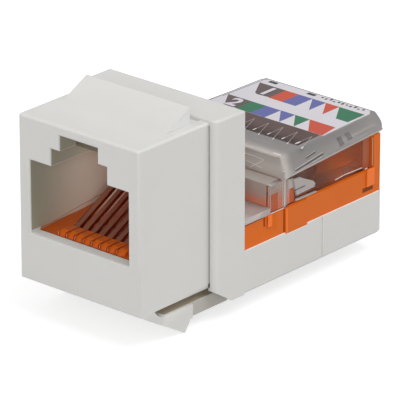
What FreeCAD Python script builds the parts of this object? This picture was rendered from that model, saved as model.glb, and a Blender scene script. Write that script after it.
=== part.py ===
import FreeCAD, Part
import math
import os

# Keystone data jack: a one-piece white housing with a stepped plug port, a panel ledge
# on top and a snap latch below; eight sprung contacts on a slide-in comb; and, at
# the back, a circuit board, an orange base with eight slotted terminals, and a clear
# cap with a colour-coded label that presses the wires into them.
#
# Millimetres. The sizes below are in the jack's own frame: x runs across and is
# centred, y runs from the front face towards the cable, z runs up from the underside
# of the front box. save() then moves each piece, so that the origin of the written
# files is the middle of the footprint, on the ground under the latch hook.

Vector = FreeCAD.Vector

# Body
COLLAR_STEP = 0.95
BODY_DROP = 1.75
CORNER_ROUND = 0.62
SOFT_EDGE = 0.25
FIT = 0.05

# Front box and its plug port
BOX_WIDTH = 14.7
BOX_HEIGHT = 16.26
PORT_WIDTH = 12.1
PORT_FLOOR = 4.74
PORT_TOP = 12.0
KEYWAY_WIDTH = 6.9
KEYWAY_RISE = 1.75
TAB_SLOT_WIDTH = 4.7
TAB_SLOT_RISE = 1.55
PORT_BACK_WALL = 1.2
LEAD_IN = 0.12

# Collar behind the box
COLLAR_FRONT = 9.5
COLLAR_LENGTH = 4.0
COLLAR_RISE = 0.3
COLLAR_BEVEL_LENGTH = 2.25
COLLAR_BEVEL_START = 0.3
GROOVE_WIDTH = 0.18
GROOVE_DEPTH = 0.45

# Fixed ledge on top; the panel's edge sits between it and the collar
LEDGE_INSET = 1.02
LEDGE_LENGTH = 3.3
LEDGE_HEIGHT = 1.67
PANEL_SLOT = 1.36
PANEL_SLOT_DEPTH = 0.15

# Snap latch under the box
RAMP_START = 0.2
LATCH_SLOT_START = 2.1
LATCH_SLOT_BEND = 1.3
LATCH_GAP = 0.93
LATCH_ROOT_PLACE = 0.9
LATCH_KNUCKLE = 0.3
LATCH_RUNNING_GAP = 0.06
LATCH_SPLIT_GAP = 0.12
HOOK_SETBACK = 3.26
HOOK_DROP = 3.46
HOOK_BACK = 0.8
HOOK_FLUSH_LENGTH = 1.12
LATCH_DROP = 2.3
LATCH_INSET = 0.28
LATCH_END_GAP = 0.6
LATCH_NOTCH_WALL = 0.4
LATCH_NOTCH_RISE = 0.4

# Rear tray
TRAY_LENGTH = 20.1
TRAY_TOP = 2.6
TRAY_FLOOR = 1.1
TRAY_WALL = 1.1
TRAY_DIP = 0.18
TRAY_CORNER = 0.5
SEAM_PLACE = 11.15
SEAM_WIDTH = 0.14
BAY_FLOOR = 1.3
BAY_REBATE = 0.2
SILL_DEPTH = 1.3
POCKET_START = 0.5
RAIL_WIDTH = 0.9
RAIL_HEIGHT = 0.65

# Contact comb and the eight contacts
COMB_DROP = 0.1
COMB_PLATE = 1.0
COMB_LEG = 0.8
COMB_LEG_LENGTH = 7.6
COMB_GUIDE = 1.3
COMB_GUIDE_HEIGHT = 5.1
COMB_RAMP_WIDTH = 1.7
COMB_RAMP_RISE = 0.7
CONTACT_COUNT = 8
CONTACT_PITCH = 1.016
CONTACT_WIDTH = 0.6
CONTACT_THICKNESS = 0.3
CONTACT_SLOT = 0.72
CONTACT_SLOT_LENGTH = 4.3
FINGER_WIDTH = 0.94
FINGER_FRONT = 0.2
FINGER_LENGTH = 1.8
FINGER_RISE = 0.46
FINGER_CORNER = 0.36
CONTACT_ROOT = 2.15
CONTACT_ROOT_RISE = 0.09
CONTACT_RISE_DEG = 27.5
CONTACT_TIP = 1.1
CONTACT_TIP_DEG = 12.0
CONTACT_END_GAP = 1.2
TAIL_WIDTH = 0.42
TAIL_DROP = 0.55
TAIL_ELBOW = 0.3
TAIL_BEND = 0.7
TAIL_PLACE = 0.9
TAIL_STAGGER = 0.9

# Circuit board
BOARD_THICKNESS = 1.0
BOARD_MARGIN = 0.1
BOARD_HOLE = 0.4

# Orange base
BASE_SIDE_GAP = 0.15
BASE_HEIGHT = 2.4
BASE_GAP = 0.15
BASE_REAR_GAP = 0.2
FLANK_RECESS_DEPTH = 0.22
FLANK_RECESS_LENGTH = 4.2
FLANK_RECESS_FLOOR = 0.9
FLANK_RECESS_SLOPE = 0.35
BASE_NOTCH = 0.24
BASE_NOTCH_PLACE = 1.25
BASE_NOTCH_HEIGHT = 1.05
BASE_RECESS_LENGTH = 2.75
BASE_RECESS_ROOF = 1.0
BOSS_PLACE = 0.1
BOSS_LENGTH = 3.1
BOSS_PROUD = 0.12
BOSS_GROOVE = 0.2
RAIL_TOP_WIDTH = 0.38
RAIL_TOP_RISE = 0.3
CATCH_LENGTH = 1.15
CATCH_DROP = 1.5
CATCH_PROUD = 0.14
POST_LENGTH = 0.95
POST_WIDTH = 1.1
POST_GAP = 0.25
GUIDE_WIDTH = 1.0
GUIDE_LENGTH = 2.6
GUIDE_SHORTFALL = 0.3
GUIDE_POINT = 0.7
SIDE_WALL_CLEAR = 0.15
SIDE_WALL_THICKNESS = 0.6
SIDE_WALL_FRONT = 2.4
SIDE_WALL_SHORTFALL = 0.5
SIDE_WALL_GAP = 0.4
CHANNEL_SIDE = 3.55
CHANNEL_DEPTH = 1.1

# Slotted terminals
TERMINALS_PER_ROW = 4
TERMINAL_SIDE = 3.05
TERMINAL_ROWS = 2
TERMINAL_ROW_PLACE = 3.7
TERMINAL_ROW_PITCH = 4.6
TERMINAL_WIDTH = 1.9
TERMINAL_THICKNESS = 0.4
TERMINAL_HEADROOM = 0.8
TERMINAL_FOOT = 1.0
TERMINAL_SLOT = 0.32
TERMINAL_SLOT_DEPTH = 3.4
TERMINAL_LEAD = 0.55
TERMINAL_PIN = 0.5

# Clear cap and its label
CAP_SETBACK = 5.8
CAP_HEIGHT = 4.95
CAP_REAR_OVERHANG = 0.6
CAP_SIDE_GAP = 0.1
CAP_FLARE = 0.9
CAP_ROOF = 1.3
CAP_LIP_WIDTH = 0.6
CAP_LIP_HEIGHT = 0.3
CAP_RIM_FRONT = 2.1
CAP_RIM_REAR = 1.35
CAP_SKIRT = 0.75
CAP_OVERHANG = 0.5
CAP_WALL = 0.9
CAP_SEAT = 0.05
CAP_FRONT_ROUND = 0.9
CAP_REAR_ROUND = 0.9
CAP_EDGE = 0.15
CAP_STEP_LENGTH = 1.9
CAP_STEP_HEIGHT = 2.8
CAP_STEP_WALL = 0.7
CAP_TONGUE_THICKNESS = 0.6
CAP_CORNER_RIB = 0.8
NOSE_LENGTH = 4.0
NOSE_HEIGHT = 1.9
NOSE_BASE = 0.45
NOSE_WIDTH = 0.55
NOSE_LINE = 0.1
NOSE_FOOT = 0.35
PRESSER_WIDTH = 0.9
PRESSER_THICKNESS = 0.55
PRESSER_GAP = 0.3
PRESSER_DROP = 2.2
STRIP_THICKNESS = 0.8
STRIP_DROP = 2.0
LABEL_SIDE_MARGIN = 0.55
LABEL_FRONT = 3.3
LABEL_REAR_MARGIN = 0.35
LABEL_THICKNESS = 0.12

# Places that follow from the sizes above
BODY_WIDTH = BOX_WIDTH + 2 * COLLAR_STEP
KEYWAY_TOP = PORT_TOP + KEYWAY_RISE
TAB_SLOT_TOP = KEYWAY_TOP + TAB_SLOT_RISE
COLLAR_REAR = COLLAR_FRONT + COLLAR_LENGTH
COLLAR_TOP = BOX_HEIGHT + COLLAR_RISE
BODY_LENGTH = COLLAR_REAR + TRAY_LENGTH
CAP_REAR = BODY_LENGTH + CAP_REAR_OVERHANG
PORT_DEPTH = COLLAR_REAR - PORT_BACK_WALL
BAY_WIDTH = PORT_WIDTH + 2 * BAY_REBATE
POCKET_FRONT = COLLAR_REAR + POCKET_START
POCKET_WIDTH = BODY_WIDTH - 2 * TRAY_WALL
TRAY_INSIDE = -BODY_DROP + TRAY_FLOOR
LEDGE_WIDTH = BOX_WIDTH - 2 * LEDGE_INSET
LEDGE_REAR = COLLAR_FRONT - PANEL_SLOT
HOOK_TIP = COLLAR_FRONT - HOOK_SETBACK
LATCH_ROOT = LATCH_SLOT_START + LATCH_ROOT_PLACE
LATCH_NOTCH_REAR = COLLAR_REAR - LATCH_NOTCH_WALL
LATCH_REAR = LATCH_NOTCH_REAR - LATCH_END_GAP
COMB_FRONT = SILL_DEPTH + FIT
COMB_TOP = PORT_FLOOR - COMB_DROP
COMB_UNDERSIDE = COMB_TOP - COMB_PLATE
CONTACT_Y = SILL_DEPTH + CONTACT_ROOT
CONTACT_Z = COMB_TOP + CONTACT_ROOT_RISE
TAIL_Z = COMB_UNDERSIDE - TAIL_DROP
BOARD_FRONT = POCKET_FRONT + BOARD_MARGIN
BOARD_REAR = BODY_LENGTH - TRAY_WALL - BOARD_MARGIN
BOARD_BOTTOM = TRAY_INSIDE + RAIL_HEIGHT
BOARD_TOP = BOARD_BOTTOM + BOARD_THICKNESS
BASE_WIDTH = BODY_WIDTH - 2 * BASE_SIDE_GAP
BASE_TOP = TRAY_TOP + BASE_HEIGHT
BASE_FRONT = COLLAR_REAR + BASE_GAP
BASE_REAR = BODY_LENGTH - BASE_REAR_GAP
CHANNEL_WIDTH = BASE_WIDTH - 2 * CHANNEL_SIDE
CAP_RIM_WIDTH = BODY_WIDTH - 2 * CAP_SIDE_GAP
CAP_TOP_WIDTH = CAP_RIM_WIDTH - 2 * CAP_FLARE
CAP_SKIRT_WIDTH = CAP_RIM_WIDTH - 2 * CAP_OVERHANG
LABEL_WIDTH = CAP_TOP_WIDTH - 2 * LABEL_SIDE_MARGIN
CAP_FRONT = COLLAR_REAR + CAP_SETBACK
CAP_BOTTOM = BASE_TOP + CAP_SEAT
CAP_TOP = CAP_BOTTOM + CAP_HEIGHT
CAP_INSIDE_TOP = CAP_TOP - CAP_ROOF
BOSS_FRONT = CAP_FRONT + BOSS_PLACE
BOSS_REAR = BOSS_FRONT + BOSS_LENGTH
FLANK_REAR = BASE_FRONT + FLANK_RECESS_LENGTH
FLANK_FLOOR = TRAY_TOP + FLANK_RECESS_FLOOR
POST_FRONT = BASE_REAR - POST_LENGTH
POST_TOP = CAP_TOP - CAP_RIM_REAR - POST_GAP
CAP_SKIRT_REAR = POST_FRONT - 2 * FIT
TERMINAL_PITCH = (BASE_WIDTH - 2 * TERMINAL_SIDE) / (TERMINALS_PER_ROW - 1)
STRIP_PITCH = TERMINAL_PITCH / 2
TERMINAL_TOP = CAP_INSIDE_TOP - TERMINAL_HEADROOM
GUIDE_TOP = TERMINAL_TOP - GUIDE_SHORTFALL
SIDE_WALL_TOP = TERMINAL_TOP - SIDE_WALL_SHORTFALL


# ---------------------------------------------------------------- drawing helpers

def block(width, front, rear, bottom, top):
    """A box centred across the jack."""
    return Part.makeBox(width, rear - front, top - bottom, Vector(-width / 2, front, bottom))


def slab(left, right, front, rear, bottom, top):
    """A box between two places on each axis."""
    return Part.makeBox(right - left, rear - front, top - bottom, Vector(left, front, bottom))


def side_face(outline, x):
    """A closed wire in the y-z plane at one place across the jack."""
    corners = [Vector(x, y, z) for y, z in outline]
    return Part.makePolygon(corners + corners[:1])


def side_prism(outline, left, right):
    """Extrude a (y, z) outline across the jack."""
    return Part.Face(side_face(outline, left)).extrude(Vector(right - left, 0, 0))


def front_face(outline, y):
    """A closed wire in the x-z plane at one depth."""
    corners = [Vector(x, y, z) for x, z in outline]
    return Part.makePolygon(corners + corners[:1])


def front_prism(outline, front, rear):
    """Extrude an (x, z) outline from front to rear."""
    return Part.Face(front_face(outline, front)).extrude(Vector(0, rear - front, 0))


def cross_rod(radius, y, z, left, right):
    """A round rod that lies across the jack."""
    return Part.makeCylinder(radius, right - left, Vector(left, y, z), Vector(1, 0, 0))


def both_sides(shape):
    """The shape and its mirror image on the other side of the jack."""
    return [shape, shape.mirror(Vector(0, 0, 0), Vector(1, 0, 0))]


def edges_in(shape, test):
    """Edges whose bounding box passes the test."""
    return [edge for edge in shape.Edges if test(edge.BoundBox)]


def near(value, place):
    """True when a coordinate lies at a place."""
    return abs(value - place) < 1e-4


def save(shape, name):
    """Move a finished piece into the part's frame and write it."""
    placed = shape.copy()
    placed.translate(Vector(0, -CAP_REAR / 2, HOOK_DROP))
    placed.exportStep(f"parts/{name}.step")


# ---------------------------------------------------------------- housing

def port_outline(grow):
    """Stepped plug opening: body, keyway and slot for the plug's tab."""
    body = PORT_WIDTH / 2 + grow
    keyway = KEYWAY_WIDTH / 2 + grow
    tab = TAB_SLOT_WIDTH / 2 + grow
    right = [
        (body, PORT_FLOOR - grow),
        (body, PORT_TOP + grow),
        (keyway, PORT_TOP + grow),
        (keyway, KEYWAY_TOP + grow),
        (tab, KEYWAY_TOP + grow),
        (tab, TAB_SLOT_TOP + grow),
    ]
    left = [(-x, z) for x, z in reversed(right)]
    return right + left


def front_box():
    """Front box with its ledge, before the port is cut."""
    box = block(BOX_WIDTH, 0, COLLAR_FRONT + COLLAR_LENGTH / 2, 0, BOX_HEIGHT)
    outer = edges_in(box, lambda b: near(b.YMax, 0) or (near(b.ZMin, BOX_HEIGHT) and b.YLength > 1))
    box = box.makeFillet(SOFT_EDGE, outer)
    ledge_front = LEDGE_REAR - LEDGE_LENGTH
    ledge = side_prism(
        [
            (ledge_front, BOX_HEIGHT),
            (LEDGE_REAR, BOX_HEIGHT + LEDGE_HEIGHT),
            (LEDGE_REAR, BOX_HEIGHT - LEDGE_HEIGHT),
            (ledge_front, BOX_HEIGHT - LEDGE_HEIGHT),
        ],
        -LEDGE_WIDTH / 2,
        LEDGE_WIDTH / 2,
    )
    return box.fuse(ledge)


def collar():
    """Collar that stops against the panel, bevelled at its lower front edge."""
    ring = block(BODY_WIDTH, COLLAR_FRONT, COLLAR_REAR, -BODY_DROP, COLLAR_TOP)
    upright = edges_in(ring, lambda b: near(b.YMax, COLLAR_FRONT) and b.ZLength > 1)
    ring = ring.makeFillet(CORNER_ROUND, upright)
    top = edges_in(ring, lambda b: near(b.ZMin, COLLAR_TOP))
    ring = ring.makeFillet(SOFT_EDGE, top)
    below = -BODY_DROP - BODY_DROP
    bevel = side_prism(
        [
            (COLLAR_FRONT - COLLAR_LENGTH, below),
            (COLLAR_FRONT - COLLAR_LENGTH, -COLLAR_BEVEL_START),
            (COLLAR_FRONT, -COLLAR_BEVEL_START),
            (COLLAR_FRONT + COLLAR_BEVEL_LENGTH, -BODY_DROP),
            (COLLAR_FRONT + COLLAR_BEVEL_LENGTH, below),
        ],
        -BODY_WIDTH,
        BODY_WIDTH,
    )
    return ring.cut(bevel)


def tray():
    """Open tray behind the collar, before its pocket is cut."""
    body = block(BODY_WIDTH, COLLAR_REAR - SOFT_EDGE, BODY_LENGTH, -BODY_DROP, TRAY_TOP)
    rear = edges_in(body, lambda b: near(b.YMin, BODY_LENGTH) and b.ZLength > 1)
    body = body.makeFillet(TRAY_CORNER, rear)
    heel = edges_in(body, lambda b: near(b.ZMax, -BODY_DROP) and b.YMin > BODY_LENGTH - 2 * TRAY_CORNER)
    return body.makeChamfer(TRAY_CORNER / 2, heel)


def latch_blank():
    """Side outline of the ramp, arm and hook as one moulding, full width of the box."""
    slot_end = LATCH_SLOT_START + LATCH_SLOT_BEND
    bend_middle = Vector(0, LATCH_SLOT_START + 0.42 * LATCH_SLOT_BEND, -0.68 * LATCH_GAP)
    corners = [
        (RAMP_START, 0),
        (HOOK_TIP, -HOOK_DROP),
        (HOOK_TIP + HOOK_BACK, -LATCH_DROP),
        (LATCH_REAR, -LATCH_DROP),
        (LATCH_REAR, -LATCH_GAP),
        (slot_end, -LATCH_GAP),
    ]
    points = [Vector(0, y, z) for y, z in corners]
    edges = [Part.makeLine(a, b) for a, b in zip(points, points[1:])]
    slot_tip = Vector(0, LATCH_SLOT_START, 0)
    edges.append(Part.Arc(points[-1], bend_middle, slot_tip).toShape())
    edges.append(Part.makeLine(slot_tip, points[0]))
    face = Part.Face(Part.Wire(edges))
    blank = face.extrude(Vector(BOX_WIDTH, 0, 0))
    blank.translate(Vector(-BOX_WIDTH / 2, 0, 0))
    return blank


def knuckle(extra):
    """Round root that the latch arm bends about."""
    half = BOX_WIDTH / 2
    ramp_depth = HOOK_DROP * (LATCH_ROOT - RAMP_START) / (HOOK_TIP - RAMP_START)
    return cross_rod(LATCH_KNUCKLE + extra, LATCH_ROOT, -(LATCH_GAP + ramp_depth) / 2, -half, half)


def latch_root():
    """Front part of the ramp, which stays with the housing."""
    reach = LATCH_ROOT - LATCH_SPLIT_GAP
    front = block(2 * BOX_WIDTH, -HOOK_DROP, reach, -HOOK_DROP, SOFT_EDGE)
    return latch_blank().common(front).cut(knuckle(LATCH_RUNNING_GAP))


def latch_arm():
    """Sprung arm with the hook; its inset rear end sits in a notch of the collar."""
    behind = block(2 * BOX_WIDTH, LATCH_ROOT, BODY_LENGTH, -2 * HOOK_DROP, SOFT_EDGE)
    arm = latch_blank().common(behind)
    arm = arm.fuse(knuckle(0).common(block(2 * BOX_WIDTH, 0, LATCH_ROOT + LATCH_KNUCKLE, -HOOK_DROP, 0)))
    side = slab(
        BOX_WIDTH / 2 - LATCH_INSET,
        BOX_WIDTH,
        HOOK_TIP + HOOK_FLUSH_LENGTH,
        BODY_LENGTH,
        -HOOK_DROP,
        0,
    )
    for cutter in both_sides(side):
        arm = arm.cut(cutter)
    return arm.removeSplitter()


def housing():
    """The one-piece white moulding."""
    body = front_box().fuse([collar(), tray(), latch_root()])
    mouth = [front_face(port_outline(LEAD_IN), 0), front_face(port_outline(0), LEAD_IN)]
    lead_in = Part.makeLoft(mouth, True, True)
    cuts = [
        front_prism(port_outline(0), 0, PORT_DEPTH),
        lead_in,
        block(BAY_WIDTH, SILL_DEPTH, POCKET_FRONT, BAY_FLOOR, PORT_FLOOR),
        block(POCKET_WIDTH, POCKET_FRONT, BODY_LENGTH - TRAY_WALL, TRAY_INSIDE, BOX_HEIGHT),
        block(BODY_WIDTH, BOSS_FRONT - FIT, BOSS_REAR + FIT, TRAY_TOP - TRAY_DIP, TRAY_TOP),
        block(BOX_WIDTH, COLLAR_FRONT, LATCH_NOTCH_REAR, -BODY_DROP, LATCH_NOTCH_RISE),
        block(LEDGE_WIDTH, LEDGE_REAR, COLLAR_FRONT, BOX_HEIGHT - PANEL_SLOT_DEPTH, BOX_HEIGHT),
    ]
    groove = slab(
        BOX_WIDTH / 2,
        BOX_WIDTH / 2 + GROOVE_WIDTH,
        COLLAR_FRONT,
        COLLAR_FRONT + GROOVE_DEPTH,
        0,
        BOX_HEIGHT - SOFT_EDGE,
    )
    seam = slab(
        BODY_WIDTH / 2 - SEAM_WIDTH,
        BODY_WIDTH / 2,
        COLLAR_REAR + SEAM_PLACE,
        COLLAR_REAR + SEAM_PLACE + SEAM_WIDTH,
        -BODY_DROP,
        TRAY_TOP,
    )
    cuts += both_sides(groove) + both_sides(seam)
    body = body.cut(cuts)
    rail = slab(
        POCKET_WIDTH / 2 - RAIL_WIDTH,
        POCKET_WIDTH / 2,
        POCKET_FRONT,
        BODY_LENGTH - TRAY_WALL,
        TRAY_INSIDE,
        BOARD_BOTTOM,
    )
    return body.fuse(both_sides(rail)).removeSplitter()


# ---------------------------------------------------------------- contacts

def contact_places():
    """Middles of the contact wires across the jack."""
    first = -CONTACT_PITCH * (CONTACT_COUNT - 1) / 2
    return [first + CONTACT_PITCH * i for i in range(CONTACT_COUNT)]


def contact_comb():
    """Orange slide-in comb: slotted plate, legs, side ramps, rounded fingers and the rear guide."""
    width = BAY_WIDTH - 2 * FIT
    comb = block(width, COMB_FRONT, BASE_FRONT - 2 * FIT, COMB_UNDERSIDE, COMB_TOP)
    leg = slab(
        width / 2 - COMB_LEG,
        width / 2,
        COMB_FRONT,
        COMB_FRONT + COMB_LEG_LENGTH,
        BAY_FLOOR,
        COMB_UNDERSIDE,
    )
    guide_rear = PORT_DEPTH - FIT
    guide_top = COMB_TOP + COMB_GUIDE_HEIGHT
    guide_width = CONTACT_PITCH * CONTACT_COUNT + CONTACT_SLOT
    guide = block(guide_width, guide_rear - COMB_GUIDE, guide_rear, COMB_TOP, guide_top)
    ramp_side = PORT_WIDTH / 2 - FIT
    ramp = side_prism(
        [
            (COMB_FRONT, COMB_UNDERSIDE),
            (COMB_FRONT, COMB_TOP),
            (guide_rear, COMB_TOP + COMB_RAMP_RISE),
            (guide_rear, COMB_UNDERSIDE),
        ],
        ramp_side - COMB_RAMP_WIDTH,
        ramp_side,
    )
    comb = comb.fuse(both_sides(leg) + both_sides(ramp) + [guide])
    slots = []
    for x in contact_places():
        left = x - CONTACT_SLOT / 2
        right = x + CONTACT_SLOT / 2
        front = CONTACT_Y - CONTACT_SLOT
        slots.append(slab(left, right, front, front + CONTACT_SLOT_LENGTH, COMB_UNDERSIDE, COMB_TOP))
        slots.append(slab(left, right, CONTACT_Y, PORT_DEPTH, CONTACT_Z, guide_top))
    fingers = [comb_finger(x) for x in contact_places()]
    return comb.cut(slots).fuse(fingers).removeSplitter()


def comb_finger(x):
    """One rounded finger in front of the root of a contact."""
    front = COMB_FRONT + FINGER_FRONT
    rear = front + FINGER_LENGTH
    pad = slab(x - FINGER_WIDTH / 2, x + FINGER_WIDTH / 2, front, rear, COMB_TOP, COMB_TOP + FINGER_RISE)
    upright = edges_in(pad, lambda b: near(b.YMax, front) and b.ZLength > FINGER_RISE / 2)
    pad = pad.makeFillet(FINGER_CORNER, upright)
    start = Vector(x - FINGER_WIDTH, front, COMB_TOP)
    crown = Vector(x - FINGER_WIDTH, front + FINGER_LENGTH / 4, COMB_TOP + FINGER_RISE * 0.75)
    end = Vector(x - FINGER_WIDTH, rear, COMB_TOP + FINGER_RISE)
    heel = Vector(x - FINGER_WIDTH, rear, COMB_TOP)
    arch = [Part.Arc(start, crown, end).toShape(), Part.makeLine(end, heel), Part.makeLine(heel, start)]
    return pad.common(Part.Face(Part.Wire(arch)).extrude(Vector(2 * FINGER_WIDTH, 0, 0)))


def bent_along(points, radii, section):
    """Carry a section along straight runs in the y-z plane, joined by tangent arcs."""
    path = [Vector(x, y, z) for x, y, z in points]
    edges = []
    start = path[0]
    for before, corner, after, radius in zip(path, path[1:], path[2:], radii):
        back = (before - corner).normalize()
        ahead = (after - corner).normalize()
        half_turn = (math.pi - back.getAngle(ahead)) / 2
        leg = radius * math.tan(half_turn)
        inward = (back + ahead).normalize()
        centre = corner + inward * (radius / math.cos(half_turn))
        first = corner + back * leg
        last = corner + ahead * leg
        edges.append(Part.makeLine(start, first))
        edges.append(Part.Arc(first, centre - inward * radius, last).toShape())
        start = last
    edges.append(Part.makeLine(start, path[-1]))
    return Part.Wire(edges).makePipeShell([section], True, False)


def contact_spring(x):
    """One sprung contact: root behind the comb's finger, rising leg and flatter tip."""
    rise = math.radians(CONTACT_RISE_DEG)
    tip_rise = math.radians(CONTACT_RISE_DEG - CONTACT_TIP_DEG)
    end_y = PORT_DEPTH - CONTACT_END_GAP
    bend_y = end_y - CONTACT_TIP * math.cos(tip_rise)
    bend_z = CONTACT_Z + (bend_y - CONTACT_Y) * math.tan(rise)
    points = [
        (x, CONTACT_Y, CONTACT_Z),
        (x, bend_y, bend_z),
        (x, end_y, bend_z + CONTACT_TIP * math.sin(tip_rise)),
    ]
    upward = Vector(0, -math.sin(rise), math.cos(rise)) * (CONTACT_THICKNESS / 2)
    across = Vector(CONTACT_WIDTH / 2, 0, 0)
    root = Vector(*points[0])
    ring = [root - across - upward, root + across - upward, root + across + upward, root - across + upward]
    return bent_along(points, [2 * CONTACT_TIP], Part.makePolygon(ring + ring[:1]))


def tail_places():
    """Where each contact tail enters the board, in two staggered rows."""
    row = POCKET_FRONT + TAIL_PLACE
    return [(x, row + TAIL_STAGGER * (i % 2)) for i, x in enumerate(contact_places())]


def contact_tail(x, row):
    """Fixed flat-sided run of a contact, from under its finger back and down into the board."""
    top = CONTACT_Z - CONTACT_THICKNESS / 2 - FIT
    points = [
        (x, CONTACT_Y, top),
        (x, CONTACT_Y, TAIL_Z),
        (x, row, TAIL_Z),
        (x, row, BOARD_BOTTOM - CONTACT_THICKNESS),
    ]
    half = TAIL_WIDTH / 2
    corners = [(-half, -half), (half, -half), (half, half), (-half, half)]
    ring = [Vector(x + across, CONTACT_Y + along, top) for across, along in corners]
    section = Part.makePolygon(ring + ring[:1])
    return bent_along(points, [TAIL_ELBOW, TAIL_BEND], section)


def contact_tails():
    """The eight fixed runs, side by side."""
    return Part.makeCompound([contact_tail(x, row) for x, row in tail_places()])


# ---------------------------------------------------------------- rear works

def row_places():
    """Depth of each row of terminals."""
    return [CAP_FRONT + TERMINAL_ROW_PLACE + TERMINAL_ROW_PITCH * i for i in range(TERMINAL_ROWS)]


def terminal_places():
    """Middle of each slotted terminal, row by row."""
    first = -TERMINAL_PITCH * (TERMINALS_PER_ROW - 1) / 2
    return [(first + TERMINAL_PITCH * i, y) for y in row_places() for i in range(TERMINALS_PER_ROW)]


def circuit_board():
    """Board under the base, drilled for the contact tails and the terminals."""
    board = block(POCKET_WIDTH - 2 * BOARD_MARGIN, BOARD_FRONT, BOARD_REAR, BOARD_BOTTOM, BOARD_TOP)
    holes = tail_places() + terminal_places()
    drills = [Part.makeCylinder(BOARD_HOLE, BOARD_THICKNESS, Vector(x, y, BOARD_BOTTOM)) for x, y in holes]
    return board.cut(drills)


def idc_terminal(x, y):
    """Slotted insulation-displacement blade with a pin for the board."""
    half = TERMINAL_WIDTH / 2
    foot = BOARD_TOP + TERMINAL_FOOT
    slot = TERMINAL_SLOT / 2
    slot_bottom = TERMINAL_TOP - TERMINAL_SLOT_DEPTH
    lead_bottom = TERMINAL_TOP - TERMINAL_LEAD
    shoulder = TERMINAL_TOP - TERMINAL_LEAD / 2
    right = [
        (TERMINAL_PIN / 2, BOARD_BOTTOM - TERMINAL_PIN),
        (TERMINAL_PIN / 2, foot),
        (half, foot),
        (half, shoulder),
        (half - TERMINAL_LEAD / 2, TERMINAL_TOP),
        (slot + TERMINAL_LEAD / 2, TERMINAL_TOP),
        (slot, lead_bottom),
        (slot, slot_bottom),
    ]
    outline = [(x + dx, z) for dx, z in right] + [(x - dx, z) for dx, z in reversed(right)]
    return front_prism(outline, y - TERMINAL_THICKNESS / 2, y + TERMINAL_THICKNESS / 2)


def wire_guide(x, y):
    """Pointed post of the base that steers a wire onto the terminal beside it."""
    half = GUIDE_WIDTH / 2
    outline = [
        (x - half, BASE_TOP - SOFT_EDGE),
        (x + half, BASE_TOP - SOFT_EDGE),
        (x + half, GUIDE_TOP - GUIDE_POINT),
        (x, GUIDE_TOP),
        (x - half, GUIDE_TOP - GUIDE_POINT),
    ]
    return front_prism(outline, y - GUIDE_LENGTH / 2, y + GUIDE_LENGTH / 2)


def base_side_details():
    """Boss, raised rail, snap catch and rear post that stand on the right flank of the base."""
    half = BASE_WIDTH / 2
    proud = half + BOSS_PROUD
    boss = slab(half - BOSS_PROUD, proud, BOSS_FRONT, BOSS_REAR, TRAY_TOP - TRAY_DIP, BASE_TOP)
    front_edge = edges_in(boss, lambda b: near(b.YMax, BOSS_FRONT) and near(b.XMin, proud))
    boss = boss.makeFillet(BOSS_PROUD, front_edge)
    rail_top = BASE_TOP + RAIL_TOP_RISE
    rail = slab(half - RAIL_TOP_WIDTH, half, BOSS_REAR, BASE_REAR, BASE_TOP - SOFT_EDGE, rail_top)
    catch = front_prism(
        [
            (half - CATCH_PROUD, BASE_TOP - CATCH_DROP),
            (half + CATCH_PROUD, BASE_TOP - CATCH_DROP),
            (half + CATCH_PROUD, rail_top - CATCH_PROUD),
            (half, rail_top),
            (half - CATCH_PROUD, rail_top),
        ],
        POST_FRONT - CATCH_LENGTH,
        POST_FRONT + FIT,
    )
    post = slab(half - POST_WIDTH, half, POST_FRONT, BASE_REAR, BASE_TOP - SOFT_EDGE, POST_TOP)
    return both_sides(boss) + both_sides(rail) + both_sides(catch) + both_sides(post)


def side_walls():
    """Two walls in line inside the cap's right skirt, one beside each row of terminals."""
    front = CAP_FRONT + SIDE_WALL_FRONT
    split = (row_places()[0] + row_places()[1]) / 2 + SIDE_WALL_GAP
    runs = [(front, split), (split + SIDE_WALL_GAP, CAP_SKIRT_REAR - CAP_WALL)]
    outer = CAP_SKIRT_WIDTH / 2 - CAP_SKIRT - SIDE_WALL_CLEAR
    walls = []
    for start, end in runs:
        wall = slab(outer - SIDE_WALL_THICKNESS, outer, start, end, BASE_TOP - SOFT_EDGE, SIDE_WALL_TOP)
        walls += both_sides(wall)
    return walls


def base_side_cuts():
    """Recess with sloping ends along the front of each flank, its notch, and the groove before the boss."""
    half = BASE_WIDTH / 2
    inside = half - FLANK_RECESS_DEPTH
    slope = FLANK_RECESS_SLOPE
    above = BASE_TOP + slope
    outer = [(BASE_FRONT, FLANK_FLOOR - slope), (FLANK_REAR + slope, FLANK_FLOOR - slope)]
    outer += [(FLANK_REAR + slope, above), (BASE_FRONT, above)]
    inner = [(BASE_FRONT, FLANK_FLOOR), (FLANK_REAR, FLANK_FLOOR), (FLANK_REAR, above), (BASE_FRONT, above)]
    recess = Part.makeLoft([side_face(inner, inside), side_face(outer, half)], True, True)
    notch_rear = FLANK_REAR - BASE_NOTCH_PLACE + BASE_NOTCH
    notch_floor = BASE_TOP - BASE_NOTCH_HEIGHT
    notch = slab(inside - BASE_NOTCH, half, notch_rear - BASE_NOTCH, notch_rear, notch_floor, BASE_TOP)
    groove = slab(inside, half, BOSS_FRONT - BOSS_GROOVE, BOSS_FRONT, TRAY_TOP, BASE_TOP)
    return both_sides(recess) + both_sides(notch) + both_sides(groove)


def terminal_pockets():
    """Slots in the base that hold the blades and let their pins through."""
    width = TERMINAL_WIDTH + 2 * FIT
    depth = TERMINAL_THICKNESS + 2 * FIT
    pin = TERMINAL_PIN + 2 * FIT
    foot = BOARD_TOP + TERMINAL_FOOT
    pockets = []
    for x, y in terminal_places():
        front = y - depth / 2
        pockets.append(slab(x - width / 2, x + width / 2, front, front + depth, foot, BASE_TOP))
        pockets.append(slab(x - pin / 2, x + pin / 2, front, front + depth, BOARD_TOP, foot))
    return pockets


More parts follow.
